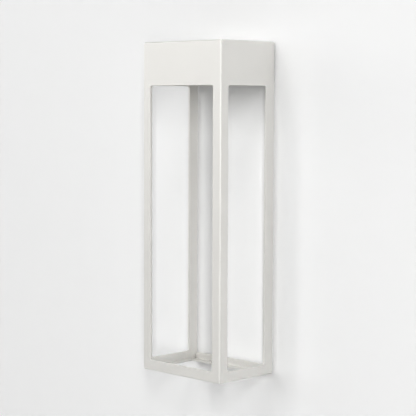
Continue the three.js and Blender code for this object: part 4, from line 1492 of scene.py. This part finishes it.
@dataclass(frozen=True)
class Softbox:
    """One rectangular light, placed round the lantern by compass angle, height angle and distance."""

    name: str
    azimuth_deg: float
    rise_deg: float
    distance: float
    size: Point2
    watts: float
    colour: Colour = (1.0, 0.997, 0.992)
    centre: Point3 = (0.0, -0.06, -0.2)
    target: Point3 = (0.0, -0.06, -0.22)

    def build(self) -> None:
        """Adds the light, which looks at the lantern's middle."""
        across, up = math.radians(self.azimuth_deg), math.radians(self.rise_deg)
        way = Vector((math.sin(across) * math.cos(up), -math.cos(across) * math.cos(up), math.sin(up)))
        place = Vector(self.centre) + way * self.distance
        light = bpy.data.lights.new(self.name, "AREA")
        light.shape = "RECTANGLE"
        light.size, light.size_y = self.size
        light.energy = self.watts
        light.color = self.colour
        lamp = bpy.data.objects.new(self.name, light)
        lamp.location = place
        lamp.rotation_euler = (Vector(self.target) - place).to_track_quat("-Z", "Y").to_euler()
        bpy.context.scene.collection.objects.link(lamp)
        LOG.info("%s: %.0f W", self.name, self.watts)


SOFTBOXES = (
    Softbox("left_light", -80.0, 15.0, 5.0, (2.2, 2.2), 46.0),
    Softbox("key_light", -50.0, 16.0, 5.0, (2.2, 3.8), 30.0),
    Softbox("front_light", -12.0, 22.0, 5.0, (2.2, 2.6), 86.0),
    Softbox("top_light", 24.0, 58.0, 5.0, (2.2, 2.2), 56.0),
    Softbox("strip_light", 46.0, 11.0, 5.0, (0.5, 3.0), 114.0),
    Softbox("rear_light", 180.0, 8.0, 3.0, (1.2, 1.2), 12.0),
)


@dataclass
class Studio:
    """The wall, the floor, the lights and the camera, all sized in metres."""

    azimuth_deg: float = 45.025
    tilt_deg: float = 4.415
    roll_deg: float = 0.21
    lens_mm: float = 118.575
    sensor_mm: float = 36.0
    back: float = 2.1086
    aside: float = -0.0407
    height: float = -0.0571
    wall_span: float = 7.0
    wall_gap: float = 0.0004
    floor_z: float = -1.7
    wall_colour: Colour = (0.85, 0.853, 0.857)
    floor_colour: Colour = (0.76, 0.758, 0.75)
    plaster_mottle: float = 0.005
    faint_sky: tuple[Colour, float] = ((0.97, 0.985, 1.0), 0.03)
    seen_sky: tuple[Colour, float] = ((0.93, 0.94, 0.95), 0.8)
    gloss_share: float = 0.35
    tone: float = 0.7

    def _plane(self, name: str, corners: Sequence[Point3], material: bpy.types.Material) -> None:
        """Adds one flat stage piece."""
        mesh = bpy.data.meshes.new(name)
        mesh.from_pydata(corners, [], [tuple(range(len(corners)))])
        mesh.materials.append(material)
        plane = bpy.data.objects.new(name, mesh)
        bpy.context.scene.collection.objects.link(plane)

    def _plaster(self, name: str, colour: Colour) -> bpy.types.Material:
        """Smooth matt paint that never hides the lantern.

        Args:
            name: the material's name.
            colour: the paint's own colour.

        Returns:
            The material, which is clear from behind and casts no shadow.
        """
        sheet = Sheet(name)
        base = sheet.mix(sheet.noise(3.0, 3.0), shade(colour, 1 - self.plaster_mottle), colour)
        front = sheet.node("ShaderNodeBsdfDiffuse", None, {"Color": base})
        behind = sheet.node("ShaderNodeBsdfTransparent")
        clear = sheet.node("ShaderNodeNewGeometry", out="Backfacing")
        clear += sheet.node("ShaderNodeLightPath", out="Is Shadow Ray")
        through = sheet.node("ShaderNodeMixShader", None, {0: clear, 1: front, 2: behind})
        sheet.node("ShaderNodeOutputMaterial", None, {"Surface": through})
        return sheet.owner

    def build_stage(self) -> None:
        """Adds the wall, just behind the bracket's back face, and the pale floor far below."""
        gap, span, low = self.wall_gap, self.wall_span, self.floor_z
        wall = [(-span, gap, low), (span, gap, low), (span, gap, span), (-span, gap, span)]
        self._plane("stage_wall", wall, self._plaster("stage_wall", self.wall_colour))
        floor = [(-span, -span, low), (span, -span, low), (span, span, low), (-span, span, low)]
        self._plane("stage_floor", floor, self._plaster("stage_floor", self.floor_colour))

    def light(self) -> None:
        """Adds the softboxes and a sky that is faint as a light, but pale where it is looked at."""
        world = bpy.data.worlds.new("sky")
        sheet = Sheet("sky", world)
        faint, seen = (
            sheet.node("ShaderNodeBackground", None, {"Color": colour, "Strength": strength})
            for colour, strength in (self.faint_sky, self.seen_sky)
        )
        looked_at = sheet.node("ShaderNodeLightPath", out="Is Camera Ray")
        looked_at += self.gloss_share * sheet.node("ShaderNodeLightPath", out="Is Glossy Ray")
        mixed = sheet.node("ShaderNodeMixShader", None, {0: looked_at, 1: faint, 2: seen})
        sheet.node("ShaderNodeOutputWorld", None, {"Surface": mixed})
        bpy.context.scene.world = world
        bpy.context.scene.view_settings.view_transform = "Standard"
        bpy.context.scene.view_settings.gamma = self.tone
        for softbox in SOFTBOXES:
            softbox.build()

    def aim_camera(self) -> None:
        """Places the camera, which looks a little down at the lantern from its front right."""
        azimuth, tilt, roll = (math.radians(d) for d in (self.azimuth_deg, self.tilt_deg, self.roll_deg))
        back = Vector((math.sin(azimuth), -math.cos(azimuth), 0.0))
        right = Vector((math.cos(azimuth), math.sin(azimuth), 0.0))
        up = Vector((0.0, 0.0, 1.0))
        place = back * self.back + right * self.aside + up * self.height
        forward = -back * math.cos(tilt) - up * math.sin(tilt)
        over = right.cross(forward)
        across = right * math.cos(roll) + over * math.sin(roll)
        upward = over * math.cos(roll) - right * math.sin(roll)
        data = bpy.data.cameras.new("camera")
        data.lens = self.lens_mm
        data.sensor_width = self.sensor_mm
        camera = bpy.data.objects.new("camera", data)
        bpy.context.scene.collection.objects.link(camera)
        turn = Matrix((across, upward, -forward)).transposed().to_4x4()
        camera.matrix_world = Matrix.Translation(place) @ turn
        bpy.context.scene.camera = camera


def dress_frame() -> None:
    """Gives every CAD node that is still shown the finish of its slot."""
    for name, node in frame["nodes"].items():
        if not node.hide_render:
            node.data.materials.clear()
            node.data.materials.append(finish(SLOT_OF[name]))
            LOG.info("%s keeps its CAD mesh", name)


def main() -> None:
    """Builds the studio and the lantern."""
    logging.basicConfig(level=logging.INFO, format="%(message)s")
    studio = Studio()
    studio.aim_camera()
    studio.build_stage()
    studio.light()
    body = FoldedBody()
    body.build()
    body.build_cross_bar()
    body.build_foot_pads()
    TopCover(body=body).build()
    tray = LampTray()
    tray.build()
    tray.build_holding()
    lamp = LampUnit()
    lamp.build_optics()
    lamp.build_box()
    lamp.build_sink()
    lamp.build_board()
    Driver().build()
    terminals = Terminals()
    terminals.build_block()
    terminals.build_clamps()
    terminals.build_earth()
    Wiring().build()
    mount = WallMount()
    mount.build_bracket()
    mount.build_grommet()
    mount.build_hanging()
    dress_frame()


if __name__ == "__main__":
    main()
